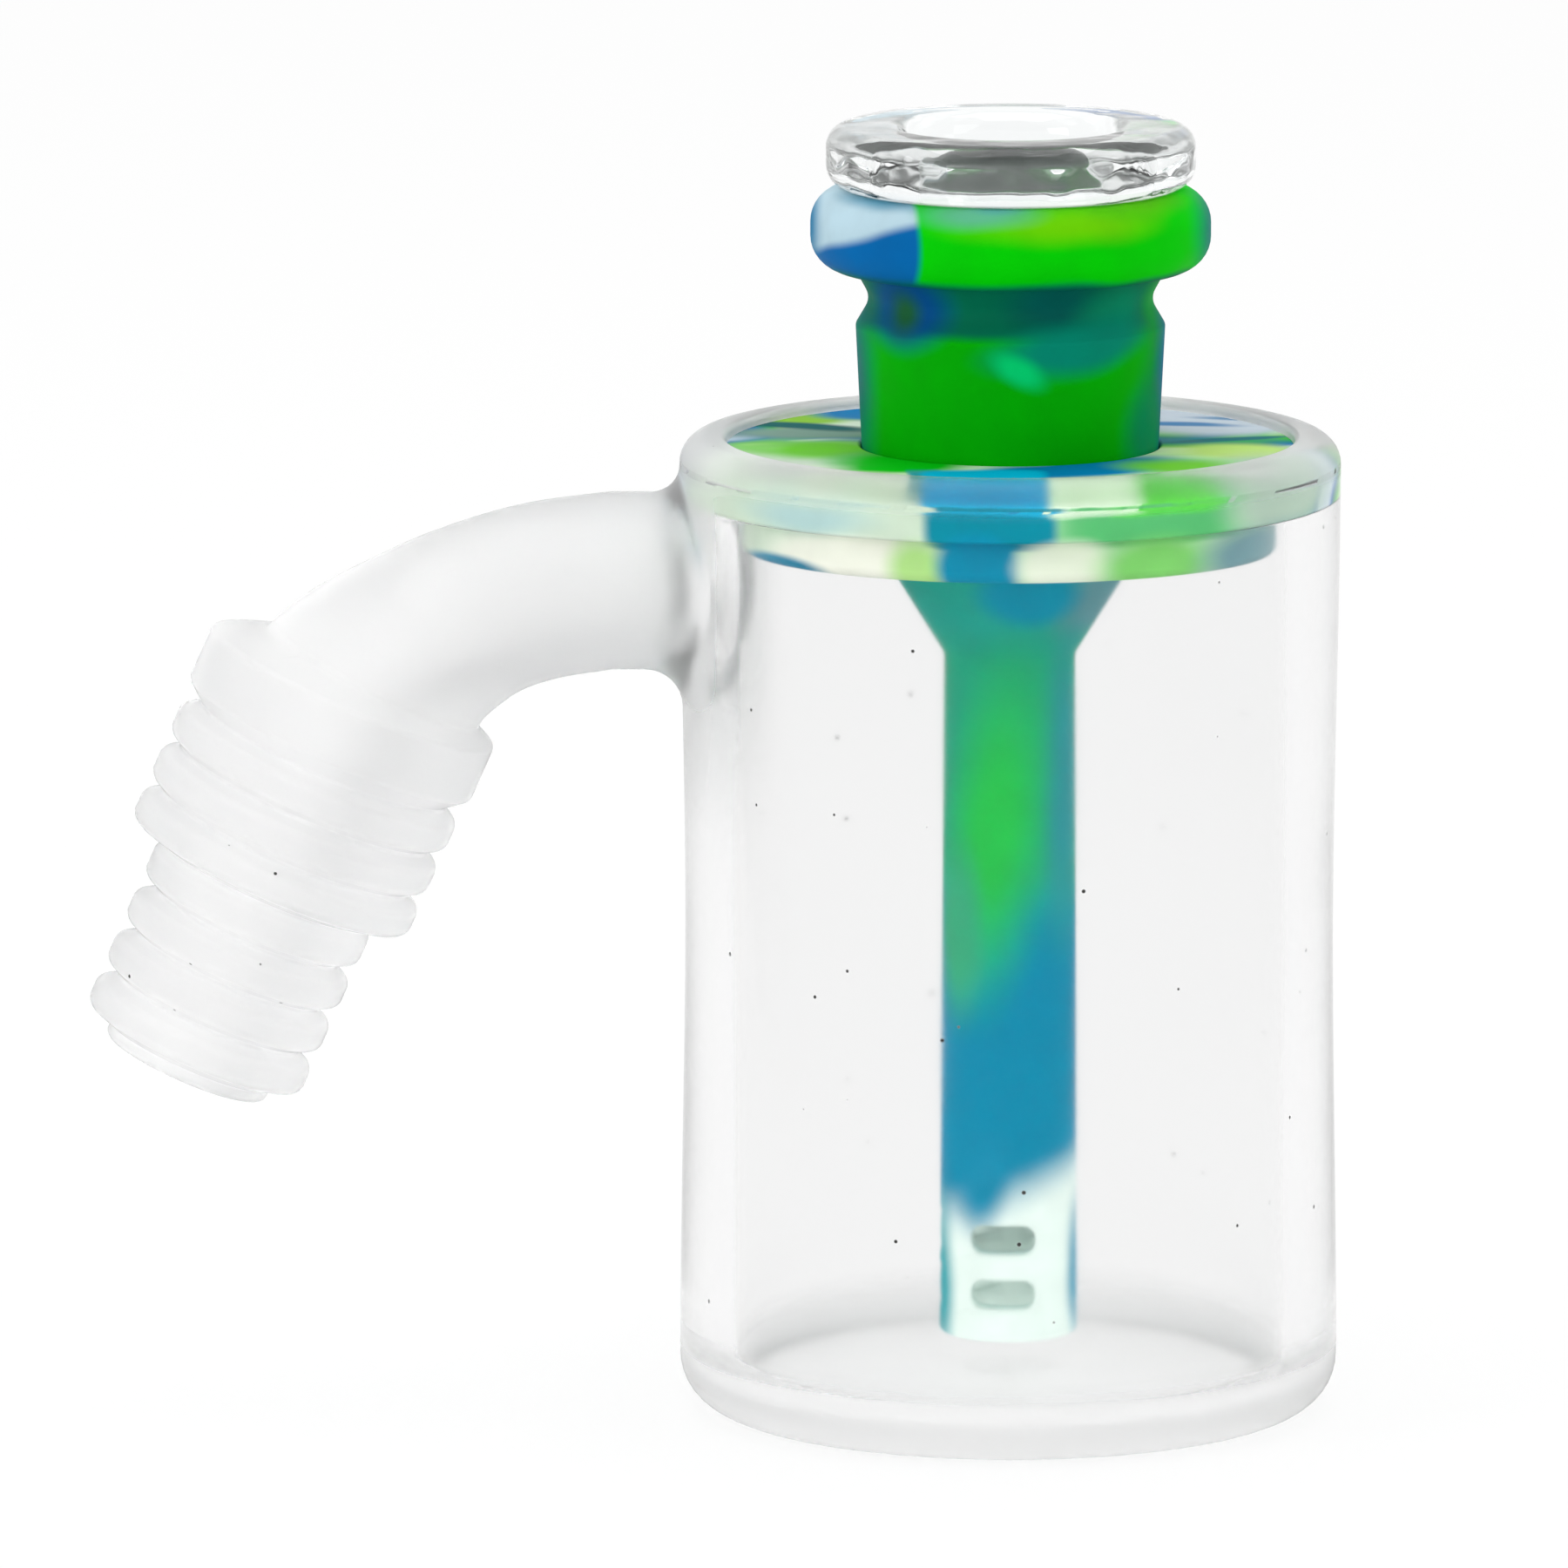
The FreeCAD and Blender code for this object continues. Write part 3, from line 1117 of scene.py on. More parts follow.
@dataclass
class ChamberCup(Piece):
    """The clear cup, with its side arm, collar and ribbed plug in one moulding."""

    name: str = "clear_cup"
    node: Node = Node.CUP
    body: Body = Body.CUP
    slot: Slot = Slot.CLEAR_SILICONE
    finish: Finish = field(default_factory=ClearSilicone)

    columns: int = 256
    radius: float = 21.5
    waist: float = 21.15
    height: float = 64.2
    foot_round: float = 3.5
    lip_round: float = 1.8
    floor: float = 2.6
    floor_round: float = 2.2
    bore: float = 17.9
    ledge: float = 60.0
    ledge_round: float = 0.15
    mouth: float = 18.5
    mouth_round: float = 0.4
    base_middle: float = 3.0
    wall_rows: int = 22

    window_columns: int = 18
    window_rows: int = 17
    window_low: float = 45.6
    window_high: float = 62.2
    inner_low: float = 46.4
    inner_high: float = 59.7

    arm_height: float = 54.6
    arm_radius: float = 5.8
    arm_root_round: float = 2.4
    arm_lip_crowding: float = 0.6
    root_steps: int = 8
    root_shares: Point = (0.35, 0.7)
    arm_stations: tuple[Station, ...] = (
        Station(-26.0, 54.6, 0.0, 5.8),
        Station(-30.6, 53.9, 11.0, 5.8),
        Station(-34.4, 52.7, 25.0, 5.9),
        Station(-37.7, 51.05, 42.0, 6.4),
        Station(-40.2, 49.5, 56.5, 7.15),
        Station(-41.85, 47.9, 66.2, 7.75),
    )
    station_steps: int = 8
    arm_bore: float = 3.8
    arm_bore_round: float = 1.0

    plug_top: Point = (-42.24, 48.81)
    plug_lean: float = 23.8
    plug_length: float = 28.9
    tip_radius: float = 5.65
    tip_round: float = 0.5
    tip_bore_round: float = 0.4
    collar_neck: float = 7.5
    collar_radius: float = 10.0
    collar_start: float = 1.25
    collar_end: float = 5.0
    collar_round: float = 0.5
    crease: float = 0.35
    crease_lead: float = 0.55
    rib_first: float = 7.77
    rib_pitch: float = 3.11
    rib_land_half: float = 0.85
    rib_round: float = 0.75
    rib_root_round: float = 0.2
    wide_ribs: int = 3
    wide_rib: float = 9.8
    wide_root: float = 8.55
    step_root: float = 7.3
    narrow_ribs: int = 4
    narrow_rib: float = 7.6
    narrow_root: float = 6.1
    bore_rows: int = 10

    @property
    def plug_way(self) -> Vector:
        """Return the way down the plug's axis."""
        lean = math.radians(self.plug_lean)
        return Vector((-math.sin(lean), 0.0, -math.cos(lean)))

    @property
    def collar_slope(self) -> float:
        """Return how far the collar's top falls for each millimetre outwards."""
        return self.collar_start / (self.collar_radius - self.collar_neck)

    def wall(self, z: float) -> float:
        """Measure the outer wall, which is full at foot and lip and drawn in at the waist.

        Args:
            z: The height.

        Returns:
            The radius there.
        """
        low, high = self.foot_round, self.height - self.lip_round
        share = min(max((z - low) / (high - low), 0.0), 1.0)
        near = 2 * min(share, 1 - share)
        return self.radius - (self.radius - self.waist) * near * near * (3 - 2 * near)

    def profile(self) -> list[Point]:
        """Lay out the cup, from under its base, over its lip, to its floor.

        Returns:
            The radius and height of each row.
        """
        lip = self.height - self.lip_round
        low_rows = evenly(self.foot_round, self.window_low, self.wall_rows)
        window_rows = evenly(self.window_low, self.window_high, self.window_rows)
        inner_rows = evenly(self.inner_high, self.inner_low, self.window_rows)
        deep = self.floor + self.floor_round
        deep_rows = evenly(self.inner_low, deep, self.wall_rows)
        corners = [Corner(self.base_middle, 0.0)]
        corners += [Corner(self.radius, 0.0, self.foot_round)]
        corners += [Corner(self.wall(z), z) for z in low_rows[1:] + window_rows[1:]]
        corners += [
            Corner(self.radius, lip),
            Corner(self.radius, self.height, self.lip_round),
            Corner(self.mouth, self.height, self.mouth_round),
            Corner(self.mouth, self.ledge, self.ledge_round),
            Corner(self.bore, self.ledge, self.ledge_round),
        ]
        corners += [Corner(self.bore, z) for z in inner_rows + deep_rows[1:-1]]
        corners += [Corner(self.bore, self.floor, self.floor_round)]
        corners += [Corner(self.base_middle, self.floor)]
        return rounded(corners)

    def skin(self) -> Skin:
        """Turn the cup, and set the arm, plug and passage into its wall.

        Returns:
            The cup's skin, in place.
        """
        skin = Skin()
        profile = self.profile()
        middle = self.columns // 2
        sides = (middle - self.window_columns, middle + self.window_columns)
        outer_low = row_at(profile, self.wall(self.window_low), self.window_low)
        inner_high = row_at(profile, self.bore, self.inner_high)
        outer = Window((outer_low, outer_low + self.window_rows), sides)
        inner = Window((inner_high, inner_high + self.window_rows), sides)
        rings = skin.turn(profile, self.columns, windows=(outer, inner), closed=False)
        skin.cap(rings[0])
        skin.cap(rings[-1])
        outside = Facing(math.pi, self.arm_height, self.wall)
        inside = Facing(math.pi, self.arm_height, lambda z: self.bore)
        start = outside.in_order(outer.edge(rings))
        end = inside.in_order(inner.edge(rings))
        angles = [outside.angle(vertex) for vertex in start]
        inner_angles = [inside.angle(vertex) for vertex in end]
        rows = self.root(outside, start, angles)
        rows += self.arm_and_collar(angles)
        rows += self.plug(angles)
        rows += self.passage(angles, inner_angles)
        rows += self.passage_mouth(inside, end, inner_angles)
        skin.bridge(start, rows, end)
        return skin

    def root(self, wall: Facing, start: Ring, angles: Sequence[float]) -> list[list[Vector]]:
        """Return the rows where the wall sweeps out into the arm.

        Args:
            wall: The plane that the arm is laid out on.
            start: The wall's vertices round the arm.
            angles: Direction of each vertex round the arm.

        Returns:
            Rows of points.
        """
        sweeps = [
            self.arm_root_round - self.arm_lip_crowding * max(0.0, math.sin(angle)) ** 3
            for angle in angles
        ]
        rows = []
        for share in self.root_shares:
            row = []
            for vertex, angle, sweep in zip(start, angles, sweeps):
                reach = self.arm_radius + sweep
                across, upward = wall.place(vertex)
                across += (reach * math.cos(angle) - across) * share
                upward += (reach * math.sin(angle) - upward) * share
                row.append(wall.point(across, upward))
            rows.append(row)
        for step in range(self.root_steps + 1):
            bend = math.pi / 2 * step / self.root_steps
            row = []
            for angle, sweep in zip(angles, sweeps):
                reach = self.arm_radius + sweep * (1 - math.sin(bend))
                row.append(wall.polar(angle, reach, sweep * (1 - math.cos(bend))))
            rows.append(row)
        return rows

    @staticmethod
    def section(station: Station, angles: Sequence[float]) -> list[Vector]:
        """Lay out one round section of the arm.

        Args:
            station: The section's place, dip and radius.
            angles: Direction of each point from its middle.

        Returns:
            The points, in order.
        """
        dip = math.radians(station.dip)
        over = Vector((-math.sin(dip), 0.0, math.cos(dip)))
        side = Vector((0.0, -1.0, 0.0))
        middle = Vector((station.x, 0.0, station.z))
        return [
            middle + (side * math.cos(angle) + over * math.sin(angle)) * station.r
            for angle in angles
        ]

    def plug_section(self, r: float, along: float) -> Station:
        """Place a section of the plug.

        Args:
            r: The section's radius.
            along: How far along the plug's axis it is.

        Returns:
            The section.
        """
        lean = math.radians(self.plug_lean)
        x = self.plug_top[0] - math.sin(lean) * along
        z = self.plug_top[1] - math.cos(lean) * along
        return Station(x, z, 90.0 - self.plug_lean, r)

    def over_collar(self, point: Vector) -> tuple[float, Vector]:
        """Measure a point against the sloping top of the collar.

        Args:
            point: The point.

        Returns:
            Its height over the collar's top, and its foot on the plug's axis.
        """
        top = Vector((self.plug_top[0], 0.0, self.plug_top[1]))
        along = (point - top).dot(self.plug_way)
        foot = top + self.plug_way * along
        surface = max(0.0, (point - foot).length - self.collar_neck) * self.collar_slope
        return surface - along, foot

    def arm_and_collar(self, angles: Sequence[float]) -> list[list[Vector]]:
        """Return the rows along the arm, to the crease where it meets the collar's top.

        Args:
            angles: Direction of each point from the arm's middle.

        Returns:
            Rows of points.
        """
        path = smooth_path(self.arm_stations, self.station_steps)
        rows = [self.section(station, angles) for station in path]
        clear = [
            row for row in rows if min(self.over_collar(point)[0] for point in row) > self.crease
        ]
        sunk = rows[-1]
        crease, apron = [], []
        for above, below in zip(clear[-1], sunk):
            high, low = self.over_collar(above)[0], self.over_collar(below)[0]
            meet = above.lerp(below, high / (high - low))
            crease.append(meet)
            foot = self.over_collar(meet)[1]
            spread = meet + (meet - foot).normalized() * self.crease
            apron.append(spread + self.plug_way * self.over_collar(spread)[0])
        shy = [point.lerp(meet, self.crease_lead) for point, meet in zip(clear[-1], crease)]
        return clear + [shy, crease, apron]

    def plug(self, angles: Sequence[float]) -> list[list[Vector]]:
        """Return the rows of the collar, the ribs and the tip.

        Args:
            angles: Direction of each point from the plug's axis.

        Returns:
            Rows of points.
        """
        shoulder = self.collar_radius - 2 * self.collar_round
        half = self.rib_pitch / 2
        corners = [
            Corner(shoulder, (shoulder - self.collar_neck) * self.collar_slope),
            Corner(self.collar_radius, self.collar_start, self.collar_round),
            Corner(self.collar_radius, self.collar_end, self.collar_round),
            Corner(self.wide_root, self.rib_first - half, self.rib_root_round),
        ]
        tips = [self.wide_rib] * self.wide_ribs + [self.narrow_rib] * self.narrow_ribs
        roots = [self.wide_root] * (self.wide_ribs - 1) + [self.step_root]
        roots += [self.narrow_root] * (self.narrow_ribs - 1) + [self.tip_radius]
        for index, (tip, root) in enumerate(zip(tips, roots)):
            middle = self.rib_first + index * self.rib_pitch
            corners += [
                Corner(tip, middle - self.rib_land_half, self.rib_round),
                Corner(tip, middle + self.rib_land_half, self.rib_round),
                Corner(root, middle + half, self.rib_root_round),
            ]
        corners += [
            Corner(self.tip_radius, self.plug_length, self.tip_round),
            Corner(self.arm_bore, self.plug_length, self.tip_bore_round),
            Corner(self.arm_bore, self.collar_end),
        ]
        return [self.section(self.plug_section(*point), angles) for point in rounded(corners)[:-1]]

    def passage(self, angles: Sequence[float], ends: Sequence[float]) -> list[list[Vector]]:
        """Return the rows of the air passage, from the tip back to the cup.

        Args:
            angles: Direction of each point from the passage's middle at the tip.
            ends: The same at the cup.

        Returns:
            Rows of points.
        """
        far = self.plug_length - 2 * self.tip_bore_round
        straight = evenly(far, self.collar_start, self.bore_rows)
        path = [self.plug_section(self.arm_bore, along) for along in straight]
        bend = smooth_path(self.arm_stations[:-1], self.station_steps)
        path += [station._replace(r=self.arm_bore) for station in reversed(bend)]
        rows = []
        for index, station in enumerate(path):
            share = index / (len(path) - 1)
            turned = [a + (b - a) * share for a, b in zip(angles, ends)]
            rows.append(self.section(station, turned))
        return rows

    def passage_mouth(
        self, wall: Facing, end: Ring, angles: Sequence[float]
    ) -> list[list[Vector]]:
        """Return the rows where the passage opens into the cup with a rounded edge.

        Args:
            wall: The plane that the passage is laid out on.
            end: The inner wall's vertices round the passage.
            angles: Direction of each vertex round the passage.

        Returns:
            Rows of points.
        """
        rows = []
        for step in range(self.root_steps + 1):
            bend = math.pi / 2 * (1 - step / self.root_steps)
            reach = self.arm_bore + self.arm_bore_round * (1 - math.sin(bend))
            out = self.arm_bore_round * (1 - math.cos(bend))
            rows.append([wall.polar(angle, reach, out) for angle in angles])
        row = []
        for vertex, angle in zip(end, angles):
            reach = self.arm_bore + self.arm_bore_round
            across, upward = wall.place(vertex)
            across = (across + reach * math.cos(angle)) / 2
            upward = (upward + reach * math.sin(angle)) / 2
            row.append(wall.point(across, upward))
        return rows + [row]


# Drifts in the lid, each laid over the last: the sides, the top, the bands and the skirt
LID_SWIRLS = (
    PigmentOrPaintedLight("#CFE2CC", (-12.0, -12.0, 60.5), (14.0, 14.0, 7.0), 0.2),
    PigmentOrPaintedLight("#F2F6EA", (-9.0, -15.0, 63.3), (8.0, 6.0, 0.8), 0.5),
    PigmentOrPaintedLight("#B0D0CE", (-12.5, -13.5, 61.0), (3.6, 6.0, 1.0), 0.7),
    PigmentOrPaintedLight("#F2F5E6", (-10.0, -14.0, 58.3), (6.5, 6.0, 1.6), 0.35),
    PigmentOrPaintedLight("#C4EFC4", (8.0, -14.0, 60.5), (12.0, 12.0, 7.0), 0.25),
    PigmentOrPaintedLight("#8CC63C", (-14.5, 11.0, 63.6), (4.2, 3.0, 1.2), 0.3),
    PigmentOrPaintedLight("#0A78B4", (-9.0, 13.6, 63.6), (3.8, 3.4, 1.2), 0.35),
    PigmentOrPaintedLight("#7C9E90", (-13.0, 4.6, 63.7), (5.5, 2.4, 0.7), 0.5),
    PigmentOrPaintedLight("#6CD420", (-13.0, -2.4, 63.9), (5.4, 4.6, 0.7), 0.35),
    PigmentOrPaintedLight("#005E60", (-13.5, 7.6, 63.6), (5.4, 1.3, 1.2), 0.45, (0.0, 0.0, -21.0)),
    PigmentOrPaintedLight("#004E58", (-17.2, 9.2, 63.6), (1.3, 1.4, 1.2), 0.4),
    PigmentOrPaintedLight("#00BE10", (-7.5, -8.6, 63.8), (4.6, 5.6, 0.6), 0.3),
    PigmentOrPaintedLight("#DCEFC8", (-10.5, -14.6, 63.8), (4.8, 2.6, 0.6), 0.4),
    PigmentOrPaintedLight("#007CB8", (4.4, -10.8, 63.8), (9.0, 3.6, 0.6), 0.25, (0.0, 0.0, 30.0)),
    PigmentOrPaintedLight("#C4EA78", (14.6, -3.6, 63.8), (5.0, 3.4, 0.7), 0.4),
    PigmentOrPaintedLight("#6CCB28", (11.2, -9.6, 63.8), (4.2, 3.2, 0.6), 0.45),
    PigmentOrPaintedLight("#CBD6E2", (13.5, 10.0, 63.6), (7.0, 6.6, 1.2), 0.3),
    PigmentOrPaintedLight("#4E88BC", (11.2, 8.6, 63.6), (3.6, 1.0, 1.0), 0.5, (0.0, 0.0, -12.0)),
    PigmentOrPaintedLight("#6E94B8", (15.2, 11.0, 63.6), (3.0, 0.7, 1.0), 0.6, (0.0, 0.0, -12.0)),
    PigmentOrPaintedLight("#0A7078", (14.2, 1.7, 63.6), (4.6, 0.7, 1.2), 0.35, (0.0, 0.0, 19.0)),
    PigmentOrPaintedLight("#58BC72", (8.4, -16.0, 61.0), (4.8, 6.0, 1.2), 0.45, boxy=True),
    PigmentOrPaintedLight("#5AE03C", (10.6, -17.5, 63.0), (3.4, 3.2, 1.1), 0.5, boxy=True),
    PigmentOrPaintedLight("#E2F8DC", (4.8, -19.0, 62.9), (3.0, 3.2, 1.0), 0.3, boxy=True),
    PigmentOrPaintedLight("#B0C8B6", (16.6, -9.0, 61.6), (3.8, 7.0, 2.2), 0.5),
    PigmentOrPaintedLight("#1E94A0", (-5.6, -17.0, 63.2), (1.0, 5.0, 0.8), 0.3, boxy=True),
    PigmentOrPaintedLight("#00B0DA", (-1.8, -17.0, 62.9), (3.9, 5.4, 1.2), 0.12, boxy=True),
    PigmentOrPaintedLight("#008AA0", (-1.4, -17.0, 60.7), (4.0, 5.0, 1.3), 0.12, boxy=True),
    PigmentOrPaintedLight("#B4E48C", (-5.9, -16.2, 57.8), (1.7, 4.0, 1.9), 0.5),
    PigmentOrPaintedLight("#0090B4", (-2.2, -17.0, 58.2), (2.7, 4.0, 2.6), 0.25),
    PigmentOrPaintedLight("#EEF8E2", (3.1, -17.0, 58.2), (2.9, 4.0, 2.0), 0.35),
    PigmentOrPaintedLight("#84D870", (8.8, -15.0, 58.0), (3.6, 5.0, 2.0), 0.45),
    PigmentOrPaintedLight("#6E9AA2", (15.0, -9.6, 58.0), (3.8, 6.0, 2.0), 0.5),
    PigmentOrPaintedLight("#1482A4", (-14.6, -9.4, 57.2), (4.6, 4.4, 0.9), 0.3),
)

# Drifts of pigment in the downstem, with painted shade, sheen and light among them, from the rim
# down: rim, groove and neck, socket, funnel and tube
DOWNSTEM_PIGMENT_AND_PAINTED_LIGHT = (
    PigmentOrPaintedLight("#0064A8", (-12.0, -4.0, 78.0), (9.0, 16.0, 6.0), 0.1),
    PigmentOrPaintedLight("#B6D2DE", (-20.3, 3.6, 136.0), (60.0, 60.0, 60.0), 0.007),
    # Painted shade: the rim's left side set a darker blue
    PigmentOrPaintedLight("#0A74A0", (-13.4, -0.5, 78.2), (1.0, 6.0, 3.2), 0.6),
    # Teal-blue pigment, darkened as painted shade where the glass flange sits on the rim
    PigmentOrPaintedLight("#2A86A6", (-8.0, -8.0, 81.0), (6.0, 6.0, 0.8), 0.5),
    PigmentOrPaintedLight("#00CA00", (43.6, -6.0, 78.0), (50.0, 50.0, 50.0), 0.006, (0.0, 4.0, 0.0)),
    # Painted shade: the rim's right side set a darker teal
    PigmentOrPaintedLight("#007A70", (13.4, 0.0, 77.8), (1.5, 6.0, 3.6), 0.7),
    PigmentOrPaintedLight("#66C800", (4.4, -12.0, 79.5), (6.4, 3.4, 1.0), 0.8),
    PigmentOrPaintedLight("#52BE08", (9.0, -8.6, 80.6), (4.5, 5.0, 1.0), 0.6),
    # Painted sheen: pale grey-green and grey-blue on the rim's front top
    PigmentOrPaintedLight("#5CB48A", (-2.6, -12.2, 80.3), (3.4, 3.0, 0.8), 0.7),
    PigmentOrPaintedLight("#4A9AB0", (-0.9, -12.2, 80.9), (2.2, 2.5, 0.5), 0.7),
    PigmentOrPaintedLight("#0064A8", (9.0, 13.0, 77.4), (9.0, 8.0, 6.0), 0.15, (0.0, 0.0, 25.0)),
    PigmentOrPaintedLight("#BED6E2", (-2.0, 14.0, 80.0), (7.0, 6.0, 2.4), 0.4, (0.0, 18.0, 0.0)),
    PigmentOrPaintedLight("#00AC00", (0.0, 0.0, 61.0), (30.0, 30.0, 12.2), 0.05),
    # Groove: the dark ring over the groove and the rim's underside is painted shade; the spots after
    # it give the groove's pigments as they look in that shade
    PigmentOrPaintedLight("#006E50", (0.0, 0.0, 73.7), (30.0, 30.0, 2.0), 0.2),
    PigmentOrPaintedLight("#004E8E", (-6.8, -6.6, 73.5), (3.0, 4.0, 2.4), 0.5),
    PigmentOrPaintedLight("#1C6038", (-7.0, -6.2, 73.0), (1.1, 1.8, 1.3), 0.8),
    PigmentOrPaintedLight("#005C56", (2.8, -9.0, 74.0), (2.6, 3.0, 1.8), 0.7),
    PigmentOrPaintedLight("#008462", (6.6, -6.6, 73.0), (2.6, 3.4, 1.8), 0.6),
    PigmentOrPaintedLight("#00A03C", (9.4, -1.6, 72.6), (1.2, 3.6, 2.4), 0.6),
    PigmentOrPaintedLight("#008870", (4.6, -9.0, 71.2), (5.4, 4.4, 1.6), 0.5, (0.0, -8.0, 0.0)),
    PigmentOrPaintedLight("#00CE70", (0.5, -10.0, 69.7), (1.6, 1.8, 0.8), 0.7, (0.0, 28.0, 0.0)),
    # Painted shade: darker teal and blue down both sides of the neck
    PigmentOrPaintedLight("#006E72", (-10.6, 0.0, 67.5), (1.7, 6.0, 7.0), 0.7),
    PigmentOrPaintedLight("#007650", (10.5, -1.0, 66.0), (1.9, 6.5, 6.0), 0.7),
    PigmentOrPaintedLight("#00689A", (10.9, 0.0, 66.6), (1.5, 5.0, 7.0), 0.6),
    # Painted shade: darker green at the front right of the neck's foot, by the lid
    PigmentOrPaintedLight("#008858", (9.0, -4.6, 65.0), (1.8, 2.6, 2.6), 0.7),
    PigmentOrPaintedLight("#0A66AA", (3.6, 10.0, 68.5), (7.5, 6.0, 2.6), 0.6, (0.0, 32.0, 0.0)),
    PigmentOrPaintedLight("#16907A", (-5.0, 9.0, 69.5), (7.0, 5.5, 1.8), 0.7, (0.0, -16.0, 0.0)),
    PigmentOrPaintedLight("#C9D2CC", (0.0, 0.0, 72.0), (7.8, 7.8, 22.0), 0.02),
    PigmentOrPaintedLight("#1E9C8C", (0.0, 0.0, 54.0), (14.0, 14.0, 4.2), 0.15),
    PigmentOrPaintedLight("#5C9098", (6.2, -4.0, 54.5), (3.4, 4.0, 4.0), 0.5),
    PigmentOrPaintedLight("#008CAA", (1.2, -7.0, 54.9), (3.2, 4.0, 2.2), 0.35),
    PigmentOrPaintedLight("#0E98A0", (0.0, 0.0, 28.0), (9.0, 9.0, 26.0), 0.1),
    PigmentOrPaintedLight("#22A07E", (0.0, 0.0, 43.0), (9.0, 9.0, 10.0), 0.2),
    PigmentOrPaintedLight("#0086A8", (0.0, 0.0, 19.0), (9.0, 9.0, 16.0), 0.25),
    PigmentOrPaintedLight("#2C9096", (3.8, -3.2, 42.0), (1.6, 3.0, 9.0), 0.6),
    PigmentOrPaintedLight("#26BC4C", (-1.0, -4.6, 39.0), (2.8, 3.4, 9.0), 0.7, (0.0, 6.0, 0.0)),
    PigmentOrPaintedLight("#3AA67A", (-3.4, -3.2, 32.0), (1.6, 3.0, 5.0), 0.6),
    PigmentOrPaintedLight("#E4F3EC", (15.0, 0.0, -22.1), (40.0, 40.0, 40.0), 0.05),
    PigmentOrPaintedLight("#1088AA", (-1.7, -4.4, 15.4), (1.4, 2.0, 2.8), 0.6, (0.0, 14.0, 0.0)),
    # Painted shade: darker teal down both sides of the tube's end
    PigmentOrPaintedLight("#2E9CA4", (-4.5, -1.4, 8.6), (0.9, 2.4, 5.0), 0.6),
    PigmentOrPaintedLight("#3C98B4", (4.6, -1.4, 9.4), (0.8, 2.4, 4.0), 0.6),
    # Painted light: the front slots' walls set pale to lighten the shade inside them
    PigmentOrPaintedLight("#DDF6F0", (-0.3, -3.0, 9.9), (2.3, 0.9, 4.2), 0.1),
)


@dataclass
class Lid(Piece):
    """The marbled lid: a disc with two sealing bands, a skirt and a tapered hole."""

    name: str = "marbled_lid"
    node: Node = Node.LID
    body: Body = Body.LID
    slot: Slot = Slot.MARBLED_SILICONE
    finish: Finish = MarbledSilicone(
        "platinum silicone, moulded, marbled for the lid",
        ("#E2F2DE", "#BFE39A", "#3CBF2E", "#0E8C7C", "#0A70B4", "#CFE0EA"),
        LID_SWIRLS,
        glow=0.16,
    )

    columns: int = 256
    top: float = 63.6
    bottom: float = 57.2
    seat: float = 59.98
    band: float = 18.52
    groove: float = 18.02
    groove_low: float = 62.3
    groove_high: float = 62.9
    groove_round: float = 0.12
    skirt: float = 17.3
    skirt_round: float = 0.8
    edge_round: float = 0.2
    hole_round: float = 0.3

    def skin(self) -> Skin:
        """Turn the lid, with bands that press a hair into the cup's wall and ledge.

        Returns:
            The lid's skin, in place.
        """
        skin = Skin()
        profile = rounded([
            Corner(NECK.at(self.bottom) + SEAT_GAP, self.bottom, self.hole_round),
            Corner(self.skirt, self.bottom, self.skirt_round),
            Corner(self.skirt, self.seat, self.edge_round),
            Corner(self.band, self.seat, self.edge_round),
            Corner(self.band, self.groove_low, self.edge_round),
            Corner(self.groove, self.groove_low, self.groove_round),
            Corner(self.groove, self.groove_high, self.groove_round),
            Corner(self.band, self.groove_high, self.edge_round),
            Corner(self.band, self.top, self.hole_round),
            Corner(NECK.at(self.top) + SEAT_GAP, self.top, self.hole_round),
        ])
        skin.turn(profile, self.columns)
        return skin


